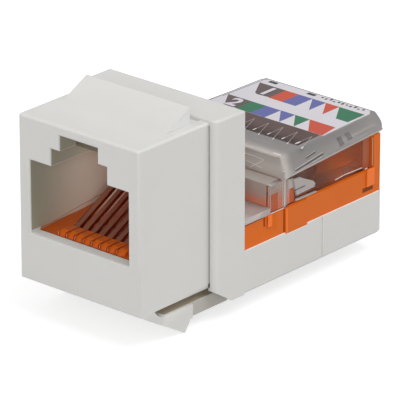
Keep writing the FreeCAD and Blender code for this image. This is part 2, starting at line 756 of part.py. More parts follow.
def termination_base():
    """Orange base: plugs into the tray, carries the terminals and guides the wires."""
    base = block(BASE_WIDTH, BASE_FRONT, BASE_REAR, TRAY_TOP, BASE_TOP)
    plug = block(POCKET_WIDTH - 2 * FIT, BOARD_FRONT, BOARD_REAR, BOARD_TOP, TRAY_TOP)
    base = base.fuse(plug).cut(base_side_cuts())
    gaps = range(TERMINALS_PER_ROW - 1)
    guide_places = [TERMINAL_PITCH * (i - (TERMINALS_PER_ROW - 2) / 2) for i in gaps]
    guides = [wire_guide(x, y) for y in row_places() for x in guide_places]
    base = base.fuse(base_side_details() + side_walls() + guides)
    tail_recess = block(
        BAY_WIDTH,
        BASE_FRONT,
        BASE_FRONT + BASE_RECESS_LENGTH,
        BOARD_TOP,
        BASE_TOP - BASE_RECESS_ROOF,
    )
    channel_front = row_places()[-1] + GUIDE_LENGTH / 2
    channel = block(CHANNEL_WIDTH, channel_front, BASE_REAR, BASE_TOP - CHANNEL_DEPTH, BASE_TOP)
    return base.cut([tail_recess, channel] + terminal_pockets()).removeSplitter()


# ---------------------------------------------------------------- cap

def rim_outline(rim_height):
    """Section across the cap's rim: flat top, flared sides and a short upright lip."""
    top = CAP_TOP_WIDTH / 2
    rim = CAP_RIM_WIDTH / 2
    low = CAP_TOP - rim_height
    right = [
        (rim - CAP_LIP_WIDTH, low),
        (rim, low),
        (rim, low + CAP_LIP_HEIGHT),
        (top, CAP_TOP - CAP_EDGE),
        (top - CAP_EDGE, CAP_TOP),
    ]
    return right + [(-x, z) for x, z in reversed(right)]


def rounded_plan(width, front, rear, front_round, rear_round):
    """Upright prism with rounded corners that trims the rim in plan."""
    prism = block(width, front, rear, 0, CAP_TOP + CAP_ROOF)
    upright = edges_in(prism, lambda b: near(b.YMax, front) and b.ZLength > 1)
    prism = prism.makeFillet(front_round, upright)
    upright = edges_in(prism, lambda b: near(b.YMin, rear) and b.ZLength > 1)
    return prism.makeFillet(rear_round, upright)


def wire_presser(x, y):
    """Pair of fins that push one wire down on both sides of its terminal."""
    half = PRESSER_WIDTH / 2
    tip = CAP_INSIDE_TOP - PRESSER_DROP
    outline = [
        (x - half, CAP_INSIDE_TOP),
        (x - half, tip),
        (x, tip + half),
        (x + half, tip),
        (x + half, CAP_INSIDE_TOP),
    ]
    inner = TERMINAL_THICKNESS / 2 + PRESSER_GAP
    outer = inner + PRESSER_THICKNESS
    return [front_prism(outline, y - outer, y - inner), front_prism(outline, y + inner, y + outer)]


def wire_strip():
    """Cross strip behind the front wall, notched with a V for each wire."""
    rear = row_places()[0] - GUIDE_LENGTH / 2 - PRESSER_GAP
    front = rear - STRIP_THICKNESS
    bottom = CAP_INSIDE_TOP - STRIP_DROP
    strip = block(CAP_SKIRT_WIDTH - CAP_SKIRT, front, rear, bottom, CAP_INSIDE_TOP)
    count = TERMINAL_ROWS * TERMINALS_PER_ROW
    mouth = STRIP_PITCH / 3
    notches = []
    for i in range(count):
        x = STRIP_PITCH * (i - (count - 1) / 2)
        outline = [(x - mouth, bottom), (x + mouth, bottom), (x, bottom + STRIP_PITCH / 2)]
        notches.append(front_prism(outline, front, rear))
    return strip.cut(notches)


def side_nose():
    """Stepped catch with a rounded nose on the skirt, under the rim."""
    half = CAP_SKIRT_WIDTH / 2
    front = CAP_FRONT + CAP_CORNER_RIB
    bottom = CAP_BOTTOM + NOSE_BASE
    rear = front + NOSE_LENGTH
    top = bottom + NOSE_HEIGHT
    inner = half - NOSE_WIDTH / 2
    outer = half + NOSE_WIDTH / 2
    nose = slab(inner, outer, front, rear, bottom, top)
    tip = edges_in(nose, lambda b: near(b.YMin, rear) and near(b.ZMin, top))
    nose = nose.makeFillet(NOSE_HEIGHT / 3, tip)
    line_bottom = bottom + NOSE_HEIGHT / 2
    line = slab(half, BODY_WIDTH, front, BODY_LENGTH, line_bottom, line_bottom + NOSE_LINE)
    foot = slab(inner, outer, front, BOSS_REAR, CAP_BOTTOM, CAP_BOTTOM + NOSE_FOOT)
    return nose.cut(line).fuse(foot)


def wire_cap():
    """Clear cap that closes over the wires."""
    front_wire = front_face(rim_outline(CAP_RIM_FRONT), CAP_FRONT)
    rear_wire = front_face(rim_outline(CAP_RIM_REAR), CAP_REAR)
    rim = Part.makeLoft([front_wire, rear_wire], True, True)
    rim = rim.common(rounded_plan(CAP_RIM_WIDTH, CAP_FRONT, CAP_REAR, CAP_FRONT_ROUND, CAP_REAR_ROUND))
    half = CAP_SKIRT_WIDTH / 2
    shell = block(CAP_SKIRT_WIDTH, CAP_FRONT, CAP_SKIRT_REAR, CAP_BOTTOM, CAP_INSIDE_TOP + SOFT_EDGE)
    corner = slab(
        half - CAP_SKIRT,
        BASE_WIDTH / 2,
        CAP_FRONT,
        CAP_FRONT + CAP_CORNER_RIB,
        CAP_BOTTOM,
        CAP_INSIDE_TOP,
    )
    step_front = CAP_FRONT - CAP_STEP_LENGTH
    step_top = CAP_BOTTOM + CAP_STEP_HEIGHT
    step = block(BASE_WIDTH - 2 * CAP_SEAT, step_front, CAP_FRONT, CAP_BOTTOM, step_top)
    step_inside = block(
        BASE_WIDTH - 2 * CAP_STEP_WALL,
        step_front + CAP_STEP_WALL,
        CAP_FRONT,
        CAP_BOTTOM,
        step_top - CAP_STEP_WALL,
    )
    tongue = block(
        BASE_WIDTH - 2 * CAP_SEAT,
        BASE_FRONT,
        step_front,
        CAP_BOTTOM,
        CAP_BOTTOM + CAP_TONGUE_THICKNESS,
    )
    cap = rim.fuse([shell, step.cut(step_inside), tongue] + both_sides(corner))
    inner = half - CAP_SKIRT
    cavity = block(2 * inner, CAP_FRONT + CAP_WALL, BODY_LENGTH, CAP_BOTTOM, CAP_INSIDE_TOP)
    rear_under = block(BODY_WIDTH, CAP_SKIRT_REAR, CAP_REAR, CAP_BOTTOM, POST_TOP + FIT)
    cap = cap.cut([cavity, rear_under])
    fins = [wire_strip()]
    for x, y in terminal_places():
        fins += wire_presser(x, y)
    cap = cap.fuse(fins + both_sides(side_nose()))
    return cap.cut(label_blank()).removeSplitter()


def label_blank():
    """Printed film that lies in a shallow recess of the cap."""
    rear = CAP_REAR - LABEL_REAR_MARGIN
    return block(LABEL_WIDTH, CAP_FRONT + LABEL_FRONT, rear, CAP_TOP - LABEL_THICKNESS, CAP_TOP)


# ---------------------------------------------------------------- writing the pieces

def main():
    os.makedirs("parts", exist_ok=True)
    save(housing(), "housing")
    save(latch_arm(), "latch_arm")
    save(contact_comb(), "contact_comb")
    for number, x in enumerate(contact_places(), start=1):
        save(contact_spring(x), f"contact_spring_{number}")
    save(contact_tails(), "contact_tails")
    save(circuit_board(), "circuit_board")
    save(termination_base(), "termination_base")
    for number, (x, y) in enumerate(terminal_places(), start=1):
        save(idc_terminal(x, y), f"idc_terminal_{number}")
    save(wire_cap(), "wire_cap")
    save(label_blank(), "cap_label")


main()
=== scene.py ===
import logging
import math
from dataclasses import dataclass
from enum import Enum

import bpy
from mathutils import Matrix, Vector


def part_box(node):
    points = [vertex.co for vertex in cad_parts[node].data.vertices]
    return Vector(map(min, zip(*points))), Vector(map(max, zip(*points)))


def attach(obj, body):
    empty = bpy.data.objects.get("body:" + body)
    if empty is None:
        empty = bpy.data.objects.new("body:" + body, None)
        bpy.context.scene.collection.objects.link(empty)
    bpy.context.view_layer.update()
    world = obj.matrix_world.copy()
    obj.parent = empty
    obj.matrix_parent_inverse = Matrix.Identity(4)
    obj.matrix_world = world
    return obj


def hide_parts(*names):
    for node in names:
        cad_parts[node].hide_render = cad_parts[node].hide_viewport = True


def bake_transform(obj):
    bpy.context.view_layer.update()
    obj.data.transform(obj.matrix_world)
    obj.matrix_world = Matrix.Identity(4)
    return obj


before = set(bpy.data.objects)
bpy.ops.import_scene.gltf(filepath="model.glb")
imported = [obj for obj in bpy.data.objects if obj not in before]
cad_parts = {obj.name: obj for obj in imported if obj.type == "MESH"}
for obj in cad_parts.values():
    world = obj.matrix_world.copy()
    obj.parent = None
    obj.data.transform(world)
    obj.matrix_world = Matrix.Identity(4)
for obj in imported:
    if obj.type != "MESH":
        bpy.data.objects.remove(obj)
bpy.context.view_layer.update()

LOG = logging.getLogger("keystone_jack")
MM = 0.001

# Limits for welding, for faces taken as flat and for vertices taken as on a cutting plane.
WELD_LIMIT = 0.002 * MM
FLAT_LIMIT = math.radians(0.5)
PLANE_LIMIT = 0.0002 * MM

# Share of a slim bar's thinner side that its edges take.
BAR_EDGE = 0.3

UP = Vector((0, 0, 1))
AHEAD = Vector((0, -1, 0))
BEHIND = Vector((0, 1, 0))
SIDES = (1, -1)

Piece = bpy.types.Object
Finish = bpy.types.Material
Node = bpy.types.Node
Socket = bpy.types.NodeSocket
Tree = bpy.types.NodeTree
Colour = tuple[float, float, float, float]
Place = tuple[float, float, float]
Span = tuple[float, float]
Outline = list[Span] | tuple[Span, ...]


# ---------------------------------------------------------------- places

class Body(Enum):
    """The rigid bodies that the pieces ride on, apart from the numbered contacts."""

    MAIN = "body"
    LATCH = "latch"
    CAP = "cap"


class Slot(Enum):
    """Material slots of the part's record."""

    WHITE = "white_plastic"
    ORANGE = "orange_plastic"
    CLEAR = "clear_plastic"
    FILM = "label_film"
    CONTACT = "contact_metal"


@dataclass(frozen=True)
class Box:
    """Lowest and highest corner of one solid, in metres."""

    low: Vector
    high: Vector

    @classmethod
    def of(cls, node: str) -> "Box":
        """Box of a solid at rest.

        Args:
            node: Name of the solid.

        Returns:
            The box.
        """
        low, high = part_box(node)
        return cls(low, high)

    @property
    def size(self) -> Vector:
        """Length of the box along each axis."""
        return self.high - self.low


@dataclass(frozen=True)
class Datum:
    """Front face and underside of the front box, from which places are given in millimetres."""

    front: float
    underside: float

    @classmethod
    def of_housing(cls, collar_drop: float = 1.75) -> "Datum":
        """Datum of the housing as it stands in the frame.

        Args:
            collar_drop: How far the collar reaches below the front box, in millimetres.

        Returns:
            The datum.
        """
        low = Box.of("housing").low
        return cls(low.y, low.z + collar_drop * MM)

    def at(self, x: float, y: float, z: float) -> Vector:
        """Point given in millimetres across, behind the front face and above the underside."""
        return Vector((x * MM, self.front + y * MM, self.underside + z * MM))

    def place(self, point: Vector) -> Place:
        """Place of a point in millimetres across, behind the front face and above the underside."""
        return point.x / MM, (point.y - self.front) / MM, (point.z - self.underside) / MM


DATUM = Datum.of_housing()


def outward(side: int) -> Vector:
    """Direction away from the middle on one side."""
    return Vector((side, 0, 0))


# ---------------------------------------------------------------- modelling helpers

def deselect_all() -> None:
    """Leave object mode with nothing selected."""
    if bpy.context.object is not None and bpy.context.object.mode != "OBJECT":
        bpy.ops.object.mode_set(mode="OBJECT")
    bpy.ops.object.select_all(action="DESELECT")


def make_active(piece: Piece) -> None:
    """Select one object alone and make it active.

    Args:
        piece: The object.
    """
    deselect_all()
    piece.select_set(True)
    bpy.context.view_layer.objects.active = piece


def apply_place(piece: Piece) -> None:
    """Move an object's place, turn and scale into its mesh."""
    make_active(piece)
    bpy.ops.object.transform_apply(location=True, rotation=True, scale=True)


def apply_modifiers(piece: Piece) -> None:
    """Apply every modifier of an object, in order.

    Args:
        piece: The object.
    """
    make_active(piece)
    for modifier in list(piece.modifiers):
        bpy.ops.object.modifier_apply(modifier=modifier.name)


def merged_copy(node: str, name: str) -> Piece:
    """Copy a solid as a welded mesh with whole faces instead of loose triangles.

    Args:
        node: Name of the solid.
        name: Name of the new piece.

    Returns:
        The new piece, at the origin.
    """
    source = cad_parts[node]
    mesh = source.data.copy()
    mesh.materials.clear()
    piece = bpy.data.objects.new(name, mesh)
    bpy.context.scene.collection.objects.link(piece)
    make_active(piece)
    bpy.ops.object.mode_set(mode="EDIT")
    bpy.ops.mesh.select_all(action="SELECT")
    bpy.ops.mesh.remove_doubles(threshold=WELD_LIMIT)
    bpy.ops.mesh.dissolve_limited(angle_limit=FLAT_LIMIT)
    bpy.ops.mesh.customdata_custom_splitnormals_clear()
    bpy.ops.object.mode_set(mode="OBJECT")
    return piece


def soften_edges(piece: Piece, width: float, segments: int = 2, angle: float = 40.0) -> None:
    """Round the sharp edges of a moulded piece a little.

    Args:
        piece: The piece to change.
        width: Width of the rounding, in metres.
        segments: Faces across the rounding.
        angle: Edges sharper than this are rounded, in degrees.
    """
    bevel = piece.modifiers.new("soft edges", "BEVEL")
    bevel.width = width
    bevel.segments = segments
    bevel.limit_method = "ANGLE"
    bevel.angle_limit = math.radians(angle)
    bevel.use_clamp_overlap = True
    bevel.miter_outer = "MITER_ARC"
    make_active(piece)
    bpy.ops.object.shade_smooth()
    shading = piece.modifiers.new("even shading", "WEIGHTED_NORMAL")
    shading.weight = 100
    apply_modifiers(piece)


def swept_face(name: str, corners: list[Vector], sweep: Place) -> Piece:
    """Solid made by moving a flat face along a line.

    Args:
        name: Name of the piece.
        corners: Corners of the face, in metres.
        sweep: How far it moves along each axis.

    Returns:
        The solid, at the origin.
    """
    deselect_all()
    bpy.ops.mesh.primitive_circle_add(vertices=len(corners), radius=MM, fill_type="NGON", location=(0, 0, 0))
    piece = bpy.context.object
    piece.name = name
    for vertex, corner in zip(piece.data.vertices, corners):
        vertex.co = corner
    bpy.ops.object.mode_set(mode="EDIT")
    bpy.ops.mesh.select_all(action="SELECT")
    bpy.ops.mesh.extrude_region_move(TRANSFORM_OT_translate={"value": sweep})
    bpy.ops.mesh.select_all(action="SELECT")
    bpy.ops.mesh.normals_make_consistent(inside=False)
    bpy.ops.object.mode_set(mode="OBJECT")
    return piece


def flat_patch(name: str, outline: Outline, bottom: float, thickness: float) -> Piece:
    """Thin plate with a straight-sided outline, as a printed field or a sheet.

    Args:
        name: Name of the piece.
        outline: Corners (x, y) in millimetres from the datum.
        bottom: Height of the underside, in metres.
        thickness: Height of the plate, in metres.

    Returns:
        The plate, at the origin.
    """
    corners = [DATUM.at(x, y, 0) for x, y in outline]
    return swept_face(name, [Vector((at.x, at.y, bottom)) for at in corners], (0, 0, thickness))


def side_plate(name: str, outline: Outline, left: float, right: float) -> Piece:
    """Solid with a straight-sided side outline.

    Args:
        name: Name of the piece.
        outline: Corners (y, z) in millimetres from the datum.
        left: Its left side, in millimetres from the middle.
        right: Its right side.

    Returns:
        The solid, at the origin.
    """
    corners = [DATUM.at(left, y, z) for y, z in outline]
    return swept_face(name, corners, ((right - left) * MM, 0, 0))


def both_plates(name: str, outline: Outline, inner: float, outer: float) -> list[Piece]:
    """The same side plate on the right and on the left, between two distances from the middle."""
    return [side_plate(name, outline, *sorted((side * inner, side * outer))) for side in SIDES]


def ridge(start: Vector, end: Vector, width: float, height: float, up: Vector) -> Piece:
    """Slim bar with rounded edges between two points.

    Args:
        start: First end of its middle line, in metres.
        end: Other end.
        width: Width across, in metres.
        height: Thickness along up, in metres.
        up: Direction of its thickness.

    Returns:
        The bar, at the origin.
    """
    along = (end - start).normalized()
    across = up.cross(along).normalized()
    rise = along.cross(across)
    deselect_all()
    bpy.ops.mesh.primitive_cube_add(size=1, location=(0, 0, 0))
    piece = bpy.context.object
    turn = Matrix((along, across, rise)).transposed().to_4x4()
    scale = Matrix.Diagonal(((end - start).length, width, height, 1.0))
    piece.matrix_world = Matrix.Translation((start + end) / 2) @ turn @ scale
    apply_place(piece)
    bpy.ops.object.mode_set(mode="EDIT")
    bpy.ops.mesh.select_all(action="SELECT")
    bpy.ops.mesh.bevel(offset=min(width, height) * BAR_EDGE, segments=1, affect="EDGES")
    bpy.ops.object.mode_set(mode="OBJECT")
    return piece


def bar(start: Place, end: Place, width: float, height: float, up: Vector) -> Piece:
    """Ridge whose ends, width and height are given in millimetres from the datum."""
    return ridge(DATUM.at(*start), DATUM.at(*end), width * MM, height * MM, up)


def level_bar(half: float, y: float, z: float, width: float, height: float, up: Vector) -> Piece:
    """Bar straight across the jack, as far to the left as to the right, in millimetres."""
    return bar((-half, y, z), (half, y, z), width, height, up)


@dataclass(frozen=True)
class Strip:
    """Thin strip or patch on the side of the jack. Millimetres from the datum.

    It lies x from the middle and runs from start to end, which are (y, z).
    """

    x: float
    start: Span
    end: Span
    width: float
    thickness: float = 0.012

    @classmethod
    def patch(cls, x: float, along: Span, heights: Span, thickness: float = 0.012) -> "Strip":
        """Upright patch between two places along the jack and two heights.

        Args:
            x: Its place, from the middle.
            along: Its front and rear end.
            heights: Its lower and upper edge.
            thickness: Its thickness.

        Returns:
            The patch.
        """
        low, high = heights
        middle = (low + high) / 2
        return cls(x, (along[0], middle), (along[1], middle), high - low, thickness)

    def on(self, side: int) -> Piece:
        """Make it on one side: 1 for the right, -1 for the left."""
        x = side * self.x
        return bar((x, *self.start), (x, *self.end), self.width, self.thickness, outward(side))


def on_both_sides(strips: tuple[Strip, ...]) -> list[Piece]:
    """Make strips on the right and on the left."""
    return [strip.on(side) for side in SIDES for strip in strips]


def bead(place: Vector, length: float, width: float, height: float, along: Vector) -> Piece:
    """Small drop-shaped end of a ridge.

    Args:
        place: Its middle, in metres.
        length: Length along its axis, in metres.
        width: Width across, in metres.
        height: Thickness, in metres.
        along: Direction of its axis, level.

    Returns:
        The bead, at the origin.
    """
    deselect_all()
    turn = (0, 0, math.atan2(along.y, along.x))
    bpy.ops.mesh.primitive_uv_sphere_add(segments=12, ring_count=6, radius=0.5, location=place, rotation=turn)
    drop = bpy.context.object
    drop.scale = (length, width, height)
    apply_place(drop)
    bpy.ops.object.shade_smooth()
    return drop


def cut_at_plane(piece: Piece, place: Vector, normal: Vector, keep_above: bool) -> None:
    """Cut a closed piece at a plane and close the cut.

    Args:
        piece: The piece to cut.
        place: A point of the plane.
        normal: The plane's normal.
        keep_above: Keep the side that the normal points to.
    """
    make_active(piece)
    bpy.ops.object.mode_set(mode="EDIT")
    bpy.ops.mesh.select_all(action="SELECT")
    bpy.ops.mesh.bisect(
        plane_co=place,
        plane_no=normal,
        use_fill=True,
        clear_inner=keep_above,
        clear_outer=not keep_above,
        threshold=PLANE_LIMIT,
    )
    bpy.ops.object.mode_set(mode="OBJECT")


def combine(piece: Piece, tool: Piece, operation: str) -> None:
    """Join a solid to a piece, or cut its shape out of it, and remove it.

    Args:
        piece: The piece to change.
        tool: The solid.
        operation: UNION or DIFFERENCE.
    """
    boolean = piece.modifiers.new("boolean", "BOOLEAN")
    boolean.operation = operation
    boolean.solver = "EXACT"
    boolean.object = tool
    apply_modifiers(piece)
    bpy.data.objects.remove(tool)


def score_at_planes(piece: Piece, places: list[Vector], normal: Vector) -> None:
    """Add edge loops to a piece where planes cross it.

    Args:
        piece: The piece to divide.
        places: A point of each plane.
        normal: The planes' normal.
    """
    make_active(piece)
    bpy.ops.object.mode_set(mode="EDIT")
    for place in places:
        bpy.ops.mesh.select_all(action="SELECT")
        bpy.ops.mesh.bisect(plane_co=place, plane_no=normal, threshold=PLANE_LIMIT)
    bpy.ops.object.mode_set(mode="OBJECT")


def numeral(text: str, place: Vector, size: float, height: float, boldness: float = 0.03) -> Piece:
    """Flat printed figure.

    Args:
        text: The figure.
        place: Its middle, in metres.
        size: Size of the type, in metres.
        height: Thickness of the ink, in metres.
        boldness: How much its strokes are thickened, as a share of its size.

    Returns:
        The figure as a mesh, at the origin.
    """
    deselect_all()
    bpy.ops.object.text_add(location=(0, 0, 0))
    figure = bpy.context.object
    figure.data.body = text
    figure.data.size = size
    figure.data.extrude = height / 2
    figure.data.offset = size * boldness
    figure.data.resolution_u = 3
    figure.data.align_x = "CENTER"
    figure.data.align_y = "CENTER"
    bpy.ops.object.convert(target="MESH")
    figure = bpy.context.object
    figure.location = place
    apply_place(figure)
    return figure


def join_pieces(pieces: list[Piece], name: str) -> Piece:
    """Join one or more meshes into one named piece.

    Args:
        pieces: The meshes; the first one takes in the others.
        name: Name of the whole.

    Returns:
        The piece.
    """
    first = pieces[0]
    if len(pieces) > 1:
        deselect_all()
        for piece in pieces:
            piece.select_set(True)
        bpy.context.view_layer.objects.active = first
        bpy.ops.object.join()
    first.name = name
    return first


def dress(piece: Piece, material: Finish, body: str) -> None:
    """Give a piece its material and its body.

    Args:
        piece: The new piece.
        material: Its finish.
        body: Name of the body that it rides on.
    """
    piece.data.materials.clear()
    piece.data.materials.append(material)
    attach(piece, body)
    LOG.info("%s: %d faces on %s", piece.name, len(piece.data.polygons), body)


def lay(pieces: list[Piece], name: str, finish: Finish, body: Body) -> None:
    """Join pieces under one name and dress the result.

    Args:
        pieces: The new pieces.
        name: Name of the whole.
        finish: Its finish.
        body: The body that it rides on.
    """
    dress(join_pieces(pieces, name), finish, body.value)


def paint_node(node: str, material: Finish) -> None:
    """Give a solid that stays as it is a new material.

    Args:
        node: Name of the solid.
        material: Its finish.
    """
    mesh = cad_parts[node].data
    mesh.materials.clear()
    mesh.materials.append(material)
    LOG.info("%s: painted with %s", node, material.name)


# ---------------------------------------------------------------- shader groups

class Nodes:
    """Small helper that adds and links shader nodes in one tree."""

    def __init__(self, tree: Tree) -> None:
        """Start from a tree."""
        self.tree = tree

    def add(self, kind: str, **settings: object) -> Node:
        """Add a node and set its properties and plain inputs.

        Args:
            kind: Node type.
            **settings: Properties by name, or inputs as in_NAME with spaces as underscores.

        Returns:
            The node.
        """
        node = self.tree.nodes.new(kind)
        for key, value in settings.items():
            if key.startswith("in_"):
                node.inputs[key[3:].replace("_", " ")].default_value = value
            else:
                setattr(node, key, value)
        return node

    def link(self, start: Socket, end: Socket) -> None:
        """Link two sockets."""
        self.tree.links.new(start, end)

    def feed(self, value: object, socket: Socket) -> None:
        """Give an input a link from a socket, or a plain value.

        Args:
            value: The socket or the value.
            socket: The input.
        """
        if isinstance(value, Socket):
            self.link(value, socket)
        else:
            socket.default_value = value

    def math(self, operation: str, *values: object) -> Socket:
        """Add a Math node.

        Args:
            operation: Name of the operation.
            *values: Sockets or numbers that feed it, in order.

        Returns:
            The result's socket.
        """
        node = self.add("ShaderNodeMath", operation=operation)
        for value, socket in zip(values, node.inputs):
            self.feed(value, socket)
        return node.outputs[0]

    def bump(self, height: Socket, shader: Node, strength: float, distance: float) -> None:
        """Feed a height to a shader's normal.

        Args:
            height: The height's socket.
            shader: The shader.
            strength: Share of the bump that shows.
            distance: Depth of the relief, in metres.
        """
        relief = self.add("ShaderNodeBump", in_Strength=strength, in_Distance=distance)
        self.link(height, relief.inputs["Height"])
        self.link(relief.outputs[0], shader.inputs["Normal"])

    def mix_colour(self, factor: object, a: object, b: object) -> Socket:
        """Mix two colours, each a socket or a tuple.

        Args:
            factor: Share of the second colour.
            a: First colour.
            b: Second colour.

        Returns:
            The mixed colour's socket.
        """
        node = self.add("ShaderNodeMix", data_type="RGBA")
        for name, value in (("Factor_Float", factor), ("A_Color", a), ("B_Color", b)):
            self.feed(value, next(socket for socket in node.inputs if socket.identifier == name))
        return next(socket for socket in node.outputs if socket.identifier == "Result_Color")

    def along_jack(self, start: float, end: float, most: float, upright: bool = False) -> Socket:
        """Smooth ramp along the jack, 0 at one place and most at the other.

        Args:
            start: Place of 0, in millimetres behind the front face, or above the underside of the box.
            end: Place of the most.
            most: Value there.
            upright: Whether the ramp climbs instead of running along the jack.

        Returns:
            The ramp's socket.
        """
        along = self.add("ShaderNodeSeparateXYZ")
        self.link(self.add("ShaderNodeTexCoord").outputs["Object"], along.inputs[0])
        ramp = self.add("ShaderNodeMapRange", interpolation_type="SMOOTHSTEP", in_To_Max=most)
        first, last = DATUM.at(0, start, start), DATUM.at(0, end, end)
        ramp.inputs["From Min"].default_value = first.z if upright else first.y
        ramp.inputs["From Max"].default_value = last.z if upright else last.y
        self.link(along.outputs["Z" if upright else "Y"], ramp.inputs["Value"])
        return ramp.outputs[0]


def new_group(name: str, inputs: dict[str, float], outputs: dict[str, str]) -> Tree:
    """Make an empty shader group with named sockets.

    Args:
        name: Name of the group.
        inputs: Float inputs and their defaults.
        outputs: Outputs and their socket types.

    Returns:
        The group's tree, with its input and output nodes.
    """
    tree = bpy.data.node_groups.new(name, "ShaderNodeTree")
    for socket, default in inputs.items():
        item = tree.interface.new_socket(name=socket, in_out="INPUT", socket_type="NodeSocketFloat")
        item.default_value = default
    for socket, kind in outputs.items():
        tree.interface.new_socket(name=socket, in_out="OUTPUT", socket_type=kind)
    tree.nodes.new("NodeGroupInput")
    tree.nodes.new("NodeGroupOutput")
    return tree


def moulded_surface_group() -> Tree:
    """Fine spark-eroded grain, slow flow mottle and faint scuffs of a moulded surface.

    Returns:
        A group with the outputs Height, Mottle and Scuff.
    """
    tree = new_group(
        "moulded surface",
        {"Grain Scale": 9000.0, "Mottle Scale": 180.0},
        {"Height": "NodeSocketFloat", "Mottle": "NodeSocketFloat", "Scuff": "NodeSocketFloat"},
    )
    nodes = Nodes(tree)
    given = tree.nodes["Group Input"].outputs
    result = tree.nodes["Group Output"].inputs
    place = nodes.add("ShaderNodeTexCoord").outputs["Object"]
    grain = nodes.add("ShaderNodeTexNoise", in_Detail=2.0, in_Roughness=0.6)
    mottle = nodes.add("ShaderNodeTexNoise", in_Detail=4.0, in_Roughness=0.55)
    stretch = nodes.add("ShaderNodeMapping", in_Scale=(900.0, 120.0, 900.0))
    scuff = nodes.add("ShaderNodeTexNoise", in_Scale=1.0, in_Detail=5.0, in_Roughness=0.7, in_Distortion=0.6)
    for node in (grain, mottle, stretch):
        nodes.link(place, node.inputs["Vector"])
    nodes.link(stretch.outputs[0], scuff.inputs["Vector"])
    nodes.link(given["Grain Scale"], grain.inputs["Scale"])
    nodes.link(given["Mottle Scale"], mottle.inputs["Scale"])
    worn = nodes.add("ShaderNodeMapRange", in_From_Min=0.62, in_From_Max=0.74)
    nodes.link(scuff.outputs["Fac"], worn.inputs["Value"])
    nodes.link(grain.outputs["Fac"], result["Height"])
    nodes.link(mottle.outputs["Fac"], result["Mottle"])
    nodes.link(worn.outputs[0], result["Scuff"])
    return tree


# ---------------------------------------------------------------- finishes

def start_material(name: str) -> tuple[Finish, Nodes, Node]:
    """Make a node material with one Principled shader.

    Args:
        name: Name of the material.

    Returns:
        The material, its node helper and its shader.
    """
    material = bpy.data.materials.new(name)
    material.use_nodes = True
    return material, Nodes(material.node_tree), material.node_tree.nodes["Principled BSDF"]


def linear(red: float, green: float, blue: float) -> Colour:
    """Turn a display colour into the linear one that shaders use.

    Args:
        red: Red, 0 to 255.
        green: Green.
        blue: Blue.

    Returns:
        The colour, fully opaque.
    """
    def channel(value: float) -> float:
        """Linear share of one channel."""
        share = value / 255
        return share / 12.92 if share <= 0.04045 else ((share + 0.055) / 1.055) ** 2.4

    return (channel(red), channel(green), channel(blue), 1.0)


@dataclass(frozen=True)
class MouldedPlastic:
    """Opaque injection-moulded plastic with fine grain."""

    name: str
    colour: Colour
    shade: Colour
    roughness: float = 0.42
    grain: float = 0.06
    scatter: float = 0.0
    gloss: float = 0.5
    polish: float = 0.10
    unevenness: float = 0.12

    def build(self, surface: Tree) -> Finish:
        """Make the material.

        Args:
            surface: The moulded surface group.

        Returns:
            The material.
        """
        material, nodes, shader = start_material(self.name)
        group = nodes.add("ShaderNodeGroup", node_tree=surface)
        tone = nodes.mix_colour(group.outputs["Mottle"], self.shade, self.colour)
        nodes.link(tone, shader.inputs["Base Color"])
        scuffed = nodes.math("MULTIPLY_ADD", group.outputs["Scuff"], -self.polish, self.roughness)
        spread = nodes.math("MULTIPLY_ADD", group.outputs["Mottle"], self.unevenness, scuffed)
        nodes.link(spread, shader.inputs["Roughness"])
        nodes.bump(group.outputs["Height"], shader, self.grain, 0.02 * MM)
        shader.inputs["IOR"].default_value = 1.5
        shader.inputs["Specular IOR Level"].default_value = self.gloss
        if self.scatter:
            shader.inputs["Subsurface Weight"].default_value = self.scatter
            shader.inputs["Subsurface Radius"].default_value = (1.0, 0.6, 0.4)
            shader.inputs["Subsurface Scale"].default_value = 0.6 * MM
        return material


@dataclass(frozen=True)
class ClearPlastic:
    """Clear moulded plastic, more or less hazy, that lets light through to what lies under it; its front can
    be painted lighter, as painted light.
    """

    name: str
    tint: Colour
    haze_tint: Colour
    transmission: float = 0.9
    roughness: float = 0.06
    shadow: Colour = (0.86, 0.85, 0.84, 1.0)
    front_painted_light: Colour | None = None
    front_from: float = 20.9
    front_full: float = 19.5
    ior: float = 1.45
    mottle: float = 320.0
    unevenness: float = 0.05

    def build(self, surface: Tree) -> Finish:
        """Make the material.

        Args:
            surface: The moulded surface group.

        Returns:
            The material.
        """
        material, nodes, shader = start_material(self.name)
        group = nodes.add("ShaderNodeGroup", node_tree=surface)
        group.inputs["Mottle Scale"].default_value = self.mottle
        tone = nodes.mix_colour(group.outputs["Mottle"], self.haze_tint, self.tint)
        # painted light: towards the front edge the colour is mixed into a lighter tint
        if self.front_painted_light is not None:
            share = nodes.along_jack(self.front_from, self.front_full, 1.0)
            tone = nodes.mix_colour(share, tone, self.front_painted_light)
        nodes.link(tone, shader.inputs["Base Color"])
        shader.inputs["Transmission Weight"].default_value = self.transmission
        shader.inputs["IOR"].default_value = self.ior
        haze = nodes.math("MULTIPLY_ADD", group.outputs["Mottle"], self.unevenness, self.roughness)
        nodes.link(haze, shader.inputs["Roughness"])
        nodes.bump(group.outputs["Mottle"], shader, 0.08, 0.05 * MM)
        through = nodes.add("ShaderNodeBsdfTransparent", in_Color=self.shadow)
        ray = nodes.add("ShaderNodeLightPath")
        passes = nodes.math("MAXIMUM", ray.outputs["Is Shadow Ray"], ray.outputs["Is Diffuse Ray"])
        mixed = nodes.add("ShaderNodeMixShader")
        nodes.link(passes, mixed.inputs[0])
        nodes.link(shader.outputs[0], mixed.inputs[1])
        nodes.link(through.outputs[0], mixed.inputs[2])
        output = material.node_tree.nodes["Material Output"]
        nodes.link(mixed.outputs[0], output.inputs["Surface"])
        return material


